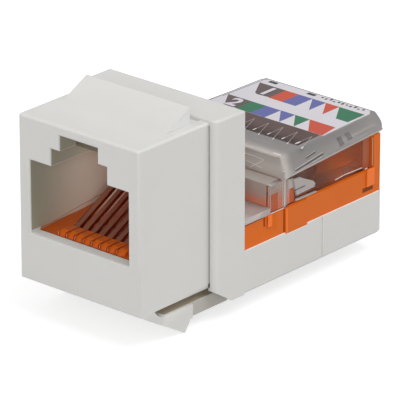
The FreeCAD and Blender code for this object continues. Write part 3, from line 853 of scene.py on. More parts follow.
@dataclass(frozen=True)
class FadingFilm:
    """Thin film of painted light or painted shade whose colour changes along or up the jack, and which may
    fade out along it.
    """

    name: str
    front_colour: Colour
    rear_colour: Colour
    colour_span: Span
    fade_span: Span | None = None
    strength: float = 0.95
    upright: bool = False
    cloud: Colour = (0.8, 0.72, 0.68, 1.0)
    cloud_share: float = 0.08
    mottle: float = 400.0

    def build(self, surface: Tree) -> Finish:
        """Make the material.

        Args:
            surface: The moulded surface group.

        Returns:
            The material.
        """
        material, nodes, shader = start_material(self.name)
        group = nodes.add("ShaderNodeGroup", node_tree=surface)
        group.inputs["Mottle Scale"].default_value = self.mottle
        change = nodes.along_jack(*self.colour_span, 1.0, self.upright)
        tone = nodes.mix_colour(change, self.front_colour, self.rear_colour)
        clouding = nodes.math("MULTIPLY", group.outputs["Mottle"], self.cloud_share)
        nodes.link(nodes.mix_colour(clouding, tone, self.cloud), shader.inputs["Base Color"])
        shader.inputs["Roughness"].default_value = 0.35
        shader.inputs["Specular IOR Level"].default_value = 0.2
        if self.fade_span is None:
            shader.inputs["Alpha"].default_value = self.strength
        else:
            nodes.link(nodes.along_jack(*self.fade_span, self.strength), shader.inputs["Alpha"])
        return material


@dataclass(frozen=True)
class PlatedMetal:
    """Thin plated strip or wire with drawing marks."""

    name: str
    colour: Colour
    shade: Colour
    roughness: float = 0.2
    metallic: float = 1.0
    unevenness: float = 0.14

    def build(self, surface: Tree) -> Finish:
        """Make the material.

        Args:
            surface: The moulded surface group.

        Returns:
            The material.
        """
        material, nodes, shader = start_material(self.name)
        group = nodes.add("ShaderNodeGroup", node_tree=surface)
        tone = nodes.mix_colour(group.outputs["Mottle"], self.shade, self.colour)
        nodes.link(tone, shader.inputs["Base Color"])
        shader.inputs["Metallic"].default_value = self.metallic
        spread = nodes.math("MULTIPLY_ADD", group.outputs["Mottle"], self.unevenness, self.roughness)
        nodes.link(spread, shader.inputs["Roughness"])
        nodes.bump(group.outputs["Scuff"], shader, 0.08, 0.01 * MM)
        return material


@dataclass(frozen=True)
class PrintedInk:
    """Ink or bare film of the label, with the slight grain of screen printing."""

    name: str
    colour: Colour
    mottle: float = 900.0
    wear: float = 0.88
    wear_glow: float = 0.03

    def build(self, surface: Tree) -> Finish:
        """Make the material.

        Args:
            surface: The moulded surface group.

        Returns:
            The material.
        """
        material, nodes, shader = start_material(self.name)
        group = nodes.add("ShaderNodeGroup", node_tree=surface)
        group.inputs["Mottle Scale"].default_value = self.mottle
        worn = (*(min(1.0, share * self.wear + self.wear_glow) for share in self.colour[:3]), 1.0)
        nodes.link(nodes.mix_colour(group.outputs["Mottle"], worn, self.colour), shader.inputs["Base Color"])
        shader.inputs["Roughness"].default_value = 0.5
        nodes.bump(group.outputs["Height"], shader, 0.05, 0.01 * MM)
        return material


# Painted light: the sill at the port's mouth.
LIT_WHITE = MouldedPlastic(
    "lit white plastic", linear(255, 254, 251), linear(250, 249, 246),
    roughness=0.45, grain=0.05, scatter=0.1,
)
# Painted light: the ledge's ends.
FAIR_WHITE = MouldedPlastic(
    "ledge end painted light", linear(238, 237, 234), linear(233, 232, 229),
    roughness=0.45, grain=0.05, scatter=0.1,
)
# Painted shade: the latch arm's side, tucked under the collar.
ARM_SHADE = MouldedPlastic(
    "latch side painted shade", linear(190, 186, 178), linear(184, 180, 172), roughness=0.5, grain=0.05
)
# Painted shade: the latch arm's top, deep in the slot under the box.
ARM_TOP_SHADE = MouldedPlastic("latch top painted shade", linear(196, 182, 158), linear(188, 174, 150), roughness=0.5, grain=0.05)
# Painted light: the step's faces lit pink-orange low down and grey higher up, for light passing through the
# haze.
STEP_HAZE_AND_LIGHT = FadingFilm(
    "hazy step, painted light", linear(244, 152, 116), linear(196, 186, 178), (5.5, 7.2), strength=0.62, upright=True
)
# Painted light: orange glow on the step where the base shines through.
STEP_GLOW = FadingFilm("glowing step", linear(214, 112, 66), linear(206, 104, 60), (17.0, 21.0), strength=0.7)
# Painted shade: faint grey on the rim where posts show through.
RIM_SHADE = FadingFilm("rim shade", linear(110, 110, 114), linear(120, 120, 122), (27.0, 30.0), strength=0.26)
# Painted shade: dark line along the roof's left edge, for its refraction.
ROOF_SHADE_LINE = FadingFilm("roof painted shade line", linear(120, 120, 124), linear(132, 132, 134), (26.0, 34.0), strength=0.85)
# Painted highlights on the orange base's lit edges and faces.
ORANGE_HIGHLIGHT = MouldedPlastic(
    "orange painted highlight", linear(255, 122, 12), linear(250, 112, 8),
    roughness=0.3, grain=0.04, scatter=0.05, gloss=0.4,
)
# Painted shade in the orange base's gaps and corners and under the catch.
ORANGE_SHADE = MouldedPlastic(
    "orange painted shade", linear(140, 62, 10), linear(120, 52, 10),
    roughness=0.5, grain=0.04, gloss=0.2,
)
# Painted highlight: cream line along the tray's rim under the orange.
CREAM_HIGHLIGHT = MouldedPlastic(
    "tray rim painted highlight", linear(255, 250, 243), linear(252, 244, 234), roughness=0.4, grain=0.02
)
WHITE_PLASTIC = MouldedPlastic(
    "white plastic", linear(223, 222, 219), linear(217, 216, 213), roughness=0.45, grain=0.08, scatter=0.1
)
ORANGE_PLASTIC = MouldedPlastic(
    "orange plastic", linear(228, 110, 6), linear(216, 100, 4),
    roughness=0.42, grain=0.06, scatter=0.05, gloss=0.3,
)
COMB_PLASTIC = MouldedPlastic(
    "comb plastic", linear(230, 106, 20), linear(218, 96, 14),
    roughness=0.35, grain=0.06, scatter=0.1, gloss=0.3,
)
BOARD_MASK = MouldedPlastic(
    "solder mask", linear(52, 120, 74), linear(44, 104, 64), roughness=0.35, grain=0.05
)
# Painted shade: dark lines on the rim's sides and in the noses' grooves.
LINE_SHADE = MouldedPlastic("line shade", linear(58, 56, 62), linear(44, 42, 48), roughness=0.5, grain=0.02)
# Painted highlights: glints on the cap's edges and the ribs' beads.
EDGE_LIGHT = MouldedPlastic(
    "painted edge highlight", linear(236, 230, 226), linear(214, 204, 200), roughness=0.15, grain=0.02
)
# Painted highlights: softer lines on the cap's edges, ribs and step.
SOFT_EDGE_LIGHT = MouldedPlastic(
    "painted soft highlight", linear(190, 182, 178), linear(172, 162, 158), roughness=0.2, grain=0.02
)
# Crown: its lighter front tint is painted light, for a front that lies in shade.
CROWN_PLASTIC = ClearPlastic(
    "clear plastic crown", linear(180, 178, 176), linear(166, 163, 161),
    transmission=0.5, roughness=0.14, shadow=(0.88, 0.87, 0.86, 1.0), front_painted_light=linear(236, 228, 222),
)
SKIRT_PLASTIC = ClearPlastic(
    "clear plastic skirt", linear(250, 240, 236), linear(240, 226, 220),
    transmission=1.0, roughness=0.04, shadow=(0.93, 0.91, 0.9, 1.0), ior=1.2,
)
TONGUE_PLASTIC = ClearPlastic(
    "clear plastic tongue", linear(226, 222, 220), linear(206, 200, 198),
    transmission=0.45, roughness=0.12, shadow=(0.88, 0.87, 0.86, 1.0),
)
NOSE_PLASTIC = ClearPlastic(
    "clear plastic nose", linear(206, 200, 196), linear(190, 184, 180),
    transmission=0.45, roughness=0.12, shadow=(0.88, 0.87, 0.86, 1.0),
)
# Painted shade: dark brown band in front of the label, where the inside lies in shade, fading out towards the
# front.
SHADE_BAND = FadingFilm(
    "painted shade band", linear(92, 74, 70), linear(88, 66, 62), (22.6, 25.0), fade_span=(21.4, 24.9)
)
# Painted shade behind the side windows: dark brown at the front, orange-brown at the rear.
WINDOW_SHADE = FadingFilm(
    "window painted shade", linear(92, 52, 32), linear(172, 88, 42), (24.0, 28.4), strength=0.97
)
# Painted shade: darker strip under the rim over the windows.
WINDOW_TOP = FadingFilm(
    "window top painted shade", linear(112, 64, 40), linear(178, 88, 44), (24.4, 28.6), strength=0.32
)
# Painted shade over the skirt's rear corners.
SKIRT_CORNER = FadingFilm(
    "skirt corner painted shade", linear(166, 86, 50), linear(188, 98, 54), (31.0, 33.0), strength=0.9
)
# Painted shade and light: the port's walls darker near the mouth and lighter deeper in.
PORT_WALL_SHADE = FadingFilm("port wall painted shade", linear(158, 157, 138), linear(255, 242, 224), (0.2, 9.5), strength=1.0)
# Painted shade: the deep part of the tab slot.
SLOT_SHADE = MouldedPlastic(
    "slot shade", linear(118, 106, 88), linear(106, 95, 78), roughness=0.6, grain=0.02
)
CONTACT_METAL = PlatedMetal("gilded bronze", linear(224, 162, 142), linear(182, 122, 104), roughness=0.3)
# Painted highlights on the wires' left edges, from the left: faint, brightest, bright, dim, then dark for the
# rest; lighter towards the rear.
WIRE_HIGHLIGHTS = (
    FadingFilm("faint painted highlight", linear(104, 60, 40), linear(150, 120, 88), (4.5, 8.0)),
    FadingFilm("bright painted highlight", linear(170, 84, 52), linear(255, 236, 214), (4.6, 7.8)),
    FadingFilm("copper painted highlight", linear(160, 76, 50), linear(255, 196, 180), (4.6, 7.8)),
    FadingFilm("dim copper painted highlight", linear(140, 66, 44), linear(220, 130, 104), (4.6, 8.2)),
    FadingFilm("dark copper painted highlight", linear(120, 58, 40), linear(150, 78, 58), (4.6, 8.2)),
)
# Painted highlights on the fingers' lit front corners.
FINGER_TIP_HIGHLIGHT = MouldedPlastic(
    "finger tip painted highlight", linear(255, 206, 170), linear(250, 180, 130), roughness=0.3, grain=0.03
)
# Painted shade in the gaps between the fingers and in front of the comb.
FINGER_GAP_SHADE = MouldedPlastic(
    "finger gap painted shade", linear(140, 62, 28), linear(120, 52, 24),
    roughness=0.6, grain=0.02, gloss=0.2,
)
PORT_SEAM = MouldedPlastic(
    "port seam", linear(196, 140, 108), linear(186, 130, 98),
    roughness=0.6, grain=0.02, gloss=0.2,
)
TERMINAL_METAL = PlatedMetal("tinned bronze", linear(208, 206, 200), linear(188, 186, 180), roughness=0.25)


class Ink(Enum):
    """Colours of the label's print."""

    FILM = PrintedInk("label film", linear(222, 218, 224))
    DARK = PrintedInk("dark ink", linear(98, 82, 80))
    RED = PrintedInk("red ink", linear(206, 76, 45))
    BLUE = PrintedInk("blue ink", linear(95, 101, 168))
    GREEN = PrintedInk("green ink", linear(35, 118, 82))
    BLACK = PrintedInk("black ink", linear(50, 46, 50))


# ---------------------------------------------------------------- body and base

@dataclass
class Housing:
    """White housing, painted shade and light on the walls of its port, the orange base and painted shade on
    the latch's faces. Millimetres.
    """

    edge: float = 0.07
    base_edge: float = 0.06
    slot_half: float = 2.33
    slot_depth: float = 2.25
    slot_middle: float = 14.5
    slot_height: float = 1.5
    slot_film: float = 0.04
    # Painted shade and light on the port's walls.
    port_wall_shades: tuple[Strip, ...] = (
        Strip.patch(6.04, (0.2, 12.2), (4.97, 11.87), 0.01),
        Strip.patch(3.44, (0.2, 12.2), (12.06, 13.7), 0.01),
        Strip.patch(2.34, (0.2, 2.2), (13.8, 15.25), 0.01),
    )
    rail_inner: float = 7.7
    rail_outer: float = 8.2
    rail_front: float = 22.4
    rail_rear: float = 33.45
    rail_level: float = 5.07
    rail_top: float = 5.35
    sill_half: float = 6.0
    sill_place: Span = (0.68, 4.745)
    sill_width: float = 1.16
    sill_film: float = 0.01
    ledge_end: tuple[Span, ...] = ((5.1, 16.32), (8.1, 16.32), (8.1, 17.84))
    ledge_span: Span = (6.32, 6.34)
    arm_side: tuple[Span, ...] = ((7.3, -2.27), (12.4, -2.27), (12.4, -0.97), (7.3, -0.97))
    arm_side_span: Span = (7.06, 7.085)
    arm_run: Span = (3.75, 12.4)
    arm_width: float = 14.0
    arm_top: float = -0.925
    arm_film: float = 0.012

    def build(self, white: Finish, orange: Finish, dark: Finish, wall: Finish) -> None:
        """Make the softened housing and base.

        Args:
            white: Finish of the housing.
            orange: Finish of the base.
            dark: Finish of the painted shade in the deep part of the tab slot.
            wall: Finish of the painted shade and light on the port's side walls, darker at the mouth and
                lighter deeper in.
        """
        shell = merged_copy("housing", "housing_moulding")
        soften_edges(shell, self.edge * MM)
        dress(shell, white, Body.MAIN.value)
        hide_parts("housing")
        place = (self.slot_half, self.slot_depth, self.slot_middle)
        shade = level_bar(*place, self.slot_height, self.slot_film, AHEAD)
        lay([shade], "tab_slot_shade", dark, Body.MAIN)
        lay(on_both_sides(self.port_wall_shades), "port_wall_shades", wall, Body.MAIN)
        base = merged_copy("termination_base", "base_moulding")
        self.lower_rails(base)
        soften_edges(base, self.base_edge * MM)
        dress(base, orange, Body.MAIN.value)
        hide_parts("termination_base")

    def lower_rails(self, base: Piece) -> None:
        """Sink the base's side rails to the cap's lower edge.

        Args:
            base: The base.
        """
        for vertex in base.data.vertices:
            x, y, z = DATUM.place(vertex.co)
            beside = self.rail_inner < abs(x) < self.rail_outer
            if beside and self.rail_front < y < self.rail_rear and self.rail_level < z < self.rail_top:
                vertex.co.z -= (z - self.rail_level) * MM

    def white_details(self, bright: Finish, fair: Finish, dim: Finish, shaded_top: Finish) -> None:
        """Painted light on the sill and the ledge's ends, and painted shade on the side and top of the
        latch's arm.

        Args:
            bright: Finish of the painted light on the sill.
            fair: Finish of the painted light on the ledge's ends.
            dim: Finish of the painted shade on the arm's side.
            shaded_top: Finish of the painted shade on the arm's top.
        """
        sill = level_bar(self.sill_half, *self.sill_place, self.sill_width, self.sill_film, UP)
        lay([sill], "lit_sill", bright, Body.MAIN)
        ends = both_plates("ledge_end", self.ledge_end, *self.ledge_span)
        sides = both_plates("arm_side", self.arm_side, *self.arm_side_span)
        lay(ends, "ledge_end_lights", fair, Body.MAIN)
        lay(sides, "latch_side_shades", dim, Body.LATCH)
        start, end = ((0, y, self.arm_top) for y in self.arm_run)
        top = bar(start, end, self.arm_width, self.arm_film, UP)
        lay([top], "latch_top_shade", shaded_top, Body.LATCH)


@dataclass
class BaseDetails:
    """Painted highlights and painted shade on the orange base, and a painted highlight on the tray's rim.
    Millimetres.
    """

    half: float = 8.15
    recess_depth: float = 0.22
    recess_slope: float = 17.42
    recess_corner: float = 16.7
    recess_top: tuple[Span, Span] = ((13.8, 4.9), (16.5, 4.93))
    boss_front: float = 19.4
    boss_rear: float = 22.5
    boss_half: float = 8.27
    catch_half: float = 8.28
    catch_front: float = 31.3
    catch_rear: float = 32.45
    catch_heights: Span = (3.5, 5.28)
    catch_inset: float = 0.04
    catch_foot: float = 3.24
    tray_half: float = 8.23
    tray_top: float = 2.6
    tray_dip: float = 0.18
    tray_front: float = 13.6
    tray_rear: float = 33.1
    tray_line: float = 0.13
    joint: float = 0.05
    thin: float = 0.024

    def build(self, bright: Finish, deep: Finish, cream: Finish) -> None:
        """Lay the edges on both sides.

        Args:
            bright: Finish of the painted highlights on the orange.
            deep: Finish of the painted shade on the orange.
            cream: Finish of the painted highlight along the tray's rim.
        """
        lay(on_both_sides(self.lit_strips()), "base_lit_edges", bright, Body.MAIN)
        lay(on_both_sides(self.shaded_strips()), "base_shaded_edges", deep, Body.MAIN)
        rim = []
        for side in SIDES:
            for front, rear, top in (
                (self.tray_front, self.boss_front - self.joint, self.tray_top),
                (self.boss_front, self.boss_rear, self.tray_top - self.tray_dip),
                (self.boss_rear + self.joint, self.tray_rear, self.tray_top),
            ):
                start, end = ((side * self.tray_half, y, top) for y in (front, rear))
                rim.append(bar(start, end, self.tray_line, 2 * self.thin, UP))
        lay(rim, "tray_rim_highlight", cream, Body.MAIN)

    def lit_strips(self) -> tuple[Strip, ...]:
        """Painted highlights on the sloping end of the recess, the front edge of the boss and the face of the
        catch.

        Returns:
            The strips of one side.
        """
        slope, boss = self.recess_slope, self.boss_front + 0.16
        catch = (self.catch_front + self.catch_inset, self.catch_rear - self.catch_inset)
        half_sunk = self.half - self.recess_depth / 2
        return (
            Strip(half_sunk, (slope, 3.75), (slope, 4.95), width=0.62, thickness=self.thin),
            Strip(self.boss_half, (boss, 2.5), (boss, 4.95), width=0.26, thickness=self.thin),
            Strip.patch(self.catch_half, catch, self.catch_heights, self.thin),
        )

    def shaded_strips(self) -> tuple[Strip, ...]:
        """Painted shade under the catch, in the gap before the boss, and in the recess's top and rear
        corners.

        Returns:
            The strips of one side.
        """
        foot, gap, corner = self.catch_foot, self.boss_front - 0.1, self.recess_corner
        start, end = (self.catch_front - 0.5, foot), (self.catch_rear - 0.1, foot)
        sunk = self.half - self.recess_depth
        return (
            Strip(self.half, start, end, width=0.44, thickness=self.thin),
            Strip(self.half - self.joint, (gap, 2.62), (gap, 4.98), width=0.14, thickness=self.thin),
            Strip(sunk, *self.recess_top, width=0.16, thickness=self.thin),
            Strip(sunk, (corner, 3.95), (corner, 4.95), width=0.13, thickness=self.thin),
        )


@dataclass
class Latch:
    """Snap latch: ramp, arm and hook as one moulding, scored with edge loops where the arm starts.
    Millimetres.
    """

    ramp_start: float = 0.2
    slot_start: float = 2.1
    slot_bend: float = 1.3
    slot_gap: float = 0.93
    slot_steps: int = 5
    slot_turn: float = 0.82
    hook_tip: float = 6.24
    hook_drop: float = 3.46
    half_width: float = 7.35
    joint_overlap: float = 3.25
    skin: float = 0.012
    bend_from: float = 2.3
    bend_to: float = 3.6
    bend_steps: int = 8
    edge: float = 0.04

    def root_outline(self) -> Outline:
        """Side outline of the ramp's front part, a hair proud of the housing's own.

        Returns:
            Its corners (y, z) from the datum.
        """
        fall = self.hook_drop / (self.hook_tip - self.ramp_start)
        reach = self.joint_overlap
        low = [(self.ramp_start, -self.skin), (reach, -(reach - self.ramp_start) * fall - self.skin)]
        arc = []
        for step in range(self.slot_steps + 1):
            turn = math.radians(90 * step / self.slot_steps * self.slot_turn)
            y = self.slot_start + self.slot_bend * (1 - math.cos(turn))
            z = -self.slot_gap * math.sin(turn)
            arc.append((min(y, reach), z + self.skin))
        return low + arc[::-1] + [(self.slot_start - self.ramp_start, self.skin * 4)]

    def build(self, white: Finish) -> None:
        """Join the root to the arm and score the join with edge loops.

        Args:
            white: Finish of the latch.
        """
        arm = merged_copy("latch_arm", "latch_moulding")
        half = self.half_width + self.skin
        combine(arm, side_plate("latch_root", self.root_outline(), -half, half), "UNION")
        soften_edges(arm, self.edge * MM, angle=50)
        step = (self.bend_to - self.bend_from) / self.bend_steps
        places = [DATUM.at(0, self.bend_from + step * i, 0) for i in range(self.bend_steps + 1)]
        score_at_planes(arm, places, BEHIND)
        arm.data.materials.clear()
        arm.data.materials.append(white)
        DATUM.at(0, self.bend_from, 0)
        DATUM.at(0, self.bend_to, 0)
        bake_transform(arm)
        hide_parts("latch_arm")
        LOG.info("%s: %d faces, bends at the root", arm.name, len(arm.data.polygons))


@dataclass
class Contacts:
    """Sprung wires with painted highlights on their edges, their comb and the slotted terminals. Millimetres.
    """

    count: int = 8
    pitch: float = 1.016
    half_width: float = 0.3
    root_y: float = 3.45
    root_z: float = 4.73
    rise: float = 27.5
    reach: float = 11.1
    half_thickness: float = 0.15
    edge_inset: float = 0.05
    edge_start: float = 0.6
    edge_end: float = 0.3
    edge_width: float = 0.11
    edge_film: float = 0.012
    finger_half: float = 0.45
    tip: tuple[Span, Span] = ((1.56, 4.7), (1.64, 4.98))
    front_gap_shade: Place = (6.0, 1.25, 4.752)
    gap_shift: float = 0.03
    gap_front: float = 1.545
    gap_heights: Span = (4.7, 5.07)
    gap_run: Span = (1.6, 3.25)
    gap_top: float = 5.1
    film: float = 0.02
    seams: tuple[Strip, ...] = (
        Strip(6.03, (3.0, 4.99), (10.85, 5.77), 0.06),
        Strip(6.035, (1.4, 4.8), (11.5, 4.8), 0.3),
    )

    def across(self, place: float) -> float:
        """Place across the jack of the wire with this number from 0, or of a gap half way on."""
        return self.pitch * (place - (self.count - 1) / 2)

    def dress(self, comb: Finish, wire: Finish, blade: Finish) -> None:
        """Paint the comb, the wires and the terminals.

        Args:
            comb: Finish of the comb.
            wire: Finish of the contact wires.
            blade: Finish of the terminals.
        """
        paint_node("contact_comb", comb)
        for node in sorted(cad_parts):
            if node.startswith("contact_spring") or node == "contact_tails":
                paint_node(node, wire)
            elif node.startswith("idc_terminal"):
                paint_node(node, blade)

    def lit_edges(self, finishes: list[Finish]) -> None:
        """Painted highlights along the wires' left edges, each riding with its wire.

        Args:
            finishes: Their finishes from the left; the last one is used for the rest.
        """
        turn = math.radians(self.rise)
        up = Vector((0, -math.sin(turn), math.cos(turn)))
        lift = up * (self.half_thickness + self.edge_film / 2) * MM
        for i in range(self.count):
            x = self.across(i) - self.half_width + self.edge_inset
            ends = []
            for y in (self.root_y + self.edge_start, self.reach - self.edge_end):
                ends.append(DATUM.at(x, y, self.root_z + (y - self.root_y) * math.tan(turn)) + lift)
            edge = ridge(*ends, self.edge_width * MM, self.edge_film * MM, up)
            edge.name = "contact_edge_%d" % (i + 1)
            dress(edge, finishes[min(i, len(finishes) - 1)], "contact_%d" % (i + 1))

    def finger_details(self, bright: Finish, deep: Finish, seam: Finish) -> None:
        """Painted highlights on the front corners of the comb's fingers, painted shade in the gaps between
        them and in front of the comb, and the seams on the port's walls.

        Args:
            bright: Finish of the painted highlights on the corners.
            deep: Finish of the painted shade in the gaps and in front of the comb.
            seam: Finish of the joints on the port's walls.
        """
        corner = Vector((-1, -1, 0)).normalized()
        places = [self.across(i) - self.finger_half for i in range(self.count)]
        foot, head = self.tip
        tips = [bar((x, *foot), (x, *head), width=0.28, height=0.03, up=corner) for x in places]
        lay(tips, "finger_tip_highlights", bright, Body.MAIN)
        dark = [level_bar(*self.front_gap_shade, width=0.09, height=self.film, up=UP)]
        for i in range(self.count - 1):
            x = self.across(i + 0.5) + self.gap_shift
            low, high = ((x, self.gap_front, z) for z in self.gap_heights)
            front, rear = ((x, y, self.gap_top) for y in self.gap_run)
            dark.append(bar(low, high, width=0.15, height=self.film, up=AHEAD))
            dark.append(bar(front, rear, width=0.13, height=self.film, up=UP))
        lay(dark, "finger_gap_shades", deep, Body.MAIN)
        lay(on_both_sides(self.seams), "port_seams", seam, Body.MAIN)


# ---------------------------------------------------------------- cap

Runs = tuple[tuple[float, ...], ...]


class CapPart(Enum):
    """Parts of the cap that differ in how clear they are."""

    CROWN = "crown"
    SKIRT = "skirt"
    TONGUE = "tongue"


def lay_on_cap(pieces: list[Piece], name: str, finish: Finish) -> None:
    """Join pieces that ride on the cap and dress them."""
    lay(pieces, name, finish, Body.CAP)


@dataclass
class Cap:
    """Clear cap: hazy crown, clearer skirt and tongue, and the ribs, painted highlights, painted light and
    painted shade on them. Millimetres.

    Each run is one tuple. On the rim it is (y, z) of the start, (y, z) of the end and the width. The lines
    of the front have (x, z) and the roof's edges (x, y) in the same way. An upright is its x, its y, its
    lower and upper end and its width. A rib's leg is how far its foot lies to the right of the apex, the
    foot's y and the size of its bead. The step's films are half their length, y, z and width.
    """

    edge: float = 0.06
    front: float = 19.3
    rear: float = 34.2
    top: float = 10.0
    split_front: float = 7.85
    split_rise: float = 0.05
    split_gap: float = 0.01
    tongue_rear: float = 17.38
    rim_half: float = 8.2
    top_half: float = 7.3
    rim_front_low: float = 7.9
    rim_rear_low: float = 8.65
    lip: float = 0.3
    taper: float = 0.055
    taper_middle: float = 26.6
    dark_runs: Runs = ((20.85, 8.32, 25.06, 8.75, 0.1), (22.7, 8.99, 24.15, 9.15, 0.07))
    pale_runs: Runs = (
        (20.85, 8.47, 25.0, 8.9, 0.09),
        (22.6, 9.1, 24.1, 9.26, 0.07),
        (21.0, 8.17, 24.6, 8.55, 0.06),
        (20.4, 8.07, 33.7, 8.74, 0.1),
    )
    post_runs: Runs = ((27.8, 8.75, 27.8, 9.5, 0.7), (29.1, 8.95, 29.1, 9.55, 0.7))
    run_thickness: float = 0.03
    front_lines: Runs = (
        (-7.2, 9.93, 7.2, 9.93, 0.07),
        (-4.4, 9.31, 4.44, 9.31, 0.09),
        (4.44, 9.31, 5.66, 9.22, 0.07),
        (5.66, 9.22, 3.96, 8.07, 0.07),
        (3.46, 8.64, 5.42, 8.36, 0.06),
    )
    front_proud: float = 0.005
    roof_line: Span = (-6.6, 3.9)
    roof_line_inset: float = 0.6
    roof_spot: Place = (6.8, 19.78, 10.0)
    roof_spot_size: Place = (1.15, 0.3, 0.05)
    roof_edges: Runs = ((-7.0, 26.2, -6.86, 33.8, 0.09), (-6.76, 27.8, -6.6, 33.6, 0.07))
    bright_uprights: Runs = ((8.12, 19.4, 5.15, 7.8, 0.1),)
    dull_uprights: Runs = ((8.05, 17.42, 5.5, 7.8, 0.08), (8.04, 32.38, 5.3, 8.2, 0.07))
    upright_depth: float = 0.6
    rib_pitch: float = 1.765
    rib_first: float = -5.9
    rib_count: int = 8
    rib_apex: float = 25.3
    rib_width: float = 0.045
    rib_lift: float = 0.004
    rib_legs: Runs = ((0.02, 23.2, 1.0), (1.13, 22.5, 0.8))
    bead_length: float = 0.62
    bead_width: float = 0.17
    bead_height: float = 0.04
    last_bead: float = 1.5
    thin: float = 0.02
    film: float = 0.012
    sharp_strips: tuple[Strip, ...] = (
        Strip(7.73, (27.2, 5.36), (28.6, 5.46), 0.1, 0.02),
        Strip(7.73, (28.6, 5.46), (31.2, 5.38), 0.1, 0.02),
        Strip(8.11, (17.4, 5.09), (19.3, 5.09), 0.09, 0.02),
    )
    dull_strips: tuple[Strip, ...] = (Strip(8.11, (13.75, 5.09), (17.4, 5.09), 0.07, 0.02),)
    skirt_half: float = 7.705
    nose_outer: float = 7.99
    nose_edge: float = 0.12
    cutter_reach: float = 0.5
    nose_box: tuple[Span, ...] = ((19.75, 5.07), (19.75, 7.8), (25.2, 7.8), (25.2, 5.07))
    nose_side: tuple[Span, ...] = (
        (21.3, 5.66), (21.15, 6.3), (20.9, 7.38), (21.8, 7.36),
        (22.6, 6.95), (23.7, 6.45), (24.05, 6.1), (23.9, 5.74),
    )
    nose_foot: tuple[Span, ...] = ((21.3, 5.08), (21.3, 5.28), (24.3, 5.22), (24.3, 5.08))
    nose_groove: Strip = Strip(7.99, (20.9, 6.27), (22.5, 6.31), 0.1, 0.02)
    window: Strip = Strip.patch(6.88, (20.6, 32.34), (5.12, 8.0), 0.04)
    window_corner: Strip = Strip(7.715, (31.3, 6.77), (32.34, 6.77), 3.26, 0.02)
    window_top_span: Span = (7.706, 7.716)
    window_dark: tuple[Span, ...] = (
        (24.2, 5.12), (27.8, 5.12), (28.5, 6.3), (30.1, 5.78), (31.29, 5.25), (31.29, 8.5), (24.2, 8.1),
    )
    step_front: tuple[float, ...] = (7.6, 17.38, 6.74, 2.14)
    step_top: tuple[float, ...] = (7.5, 18.3, 7.855, 1.7)
    step_rise: tuple[float, ...] = (7.5, 19.285, 7.9, 0.2)
    step_faces: tuple[Strip, ...] = (Strip.patch(7.712, (17.45, 20.55), (5.06, 7.8)),)
    step_lit: tuple[Strip, ...] = (
        Strip.patch(7.722, (17.8, 18.8), (5.08, 6.7)),
        Strip.patch(7.722, (20.55, 21.2), (5.08, 6.5)),
    )
    step_spots: tuple[Strip, ...] = (
        Strip.patch(7.722, (20.4, 21.1), (6.5, 7.45)),
        Strip.patch(7.73, (19.4, 19.85), (5.08, 7.8)),
    )

    def build(self, crown: Finish, skirt: Finish, tongue: Finish) -> None:
        """Make the crown, the skirt and the tongue.

        Args:
            crown: Finish of the rim and roof.
            skirt: Finish of the walls and the step.
            tongue: Finish of the flat tongue in front.
        """
        slope = Vector((0, -self.split_rise, 1)).normalized()
        place = DATUM.at(0, self.front, self.split_front)
        joint = DATUM.at(0, self.tongue_rear, 0)
        gap = self.split_gap * MM
        for name, finish, part in (
            ("cap_crown", crown, CapPart.CROWN),
            ("cap_skirt", skirt, CapPart.SKIRT),
            ("cap_tongue", tongue, CapPart.TONGUE),
        ):
            piece = merged_copy("wire_cap", name)
            if part is CapPart.SKIRT:
                self.trim_noses(piece)
            soften_edges(piece, self.edge * MM)
            if part is CapPart.CROWN:
                cut_at_plane(piece, place + slope * gap, slope, True)
                self.narrow_to_rear(piece)
            else:
                cut_at_plane(piece, place - slope * gap, slope, False)
                ahead = part is CapPart.TONGUE
                cut_at_plane(piece, joint + BEHIND * (-gap if ahead else gap), BEHIND, not ahead)
            dress(piece, finish, Body.CAP.value)
            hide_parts("wire_cap")

    def trim_noses(self, skirt: Piece) -> None:
        """Take the plain noses off the skirt's sides, where the rounded ones sit.

        Args:
            skirt: The cap's copy that becomes the skirt.
        """
        reach = self.rim_half + self.cutter_reach
        for block in both_plates("nose_cutter", self.nose_box, self.skirt_half, reach):
            combine(skirt, block, "DIFFERENCE")

    def rim_part(self, y: float, z: float) -> float:
        """How far up the rim's slope a place lies.

        Args:
            y: Place behind the front face.
            z: Height above the underside of the front box.

        Returns:
            0 at the rim's lip and 1 at the roof.
        """
        share = (y - self.front) / (self.rear - self.front)
        low = self.rim_front_low + share * (self.rim_rear_low - self.rim_front_low) + self.lip
        return max(0.0, (z - low) / (self.top - low))

    def drawn_in(self, y: float, part: float) -> float:
        """Factor by which the rim is drawn in at a place along the jack and up its slope."""
        return 1 + self.taper * part * (self.taper_middle - y) / (self.rear - self.taper_middle)

    def narrow_to_rear(self, crown: Piece) -> None:
        """Let the top of the rim draw in a little towards the rear.

        Args:
            crown: The crown.
        """
        for vertex in crown.data.vertices:
            _, y, z = DATUM.place(vertex.co)
            vertex.co.x *= self.drawn_in(y, min(1.0, self.rim_part(y, z)))

    def rim_place(self, y: float, z: float) -> Vector:
        """Point on the right-hand slope of the rim.

        Args:
            y: Place behind the front face.
            z: Height above the underside of the front box.

        Returns:
            The point.
        """
        part = self.rim_part(y, z)
        half = self.rim_half - part * (self.rim_half - self.top_half)
        return DATUM.at(self.drawn_in(y, part) * half, y, z)

    def rim_bars(self, runs: Runs, thickness: float) -> list[Piece]:
        """Bars on both slopes of the rim.

        Args:
            runs: Their runs.
            thickness: Their thickness.

        Returns:
            The bars.
        """
        out = Vector((self.top - self.rim_front_low, 0, self.rim_half - self.top_half)).normalized()
        bars = []
        for y0, z0, y1, z1, width in runs:
            start, end = self.rim_place(y0, z0), self.rim_place(y1, z1)
            for side in SIDES:
                mirror = Vector((side, 1, 1))
                bars.append(ridge(start * mirror, end * mirror, width * MM, thickness * MM, out * mirror))
        return bars

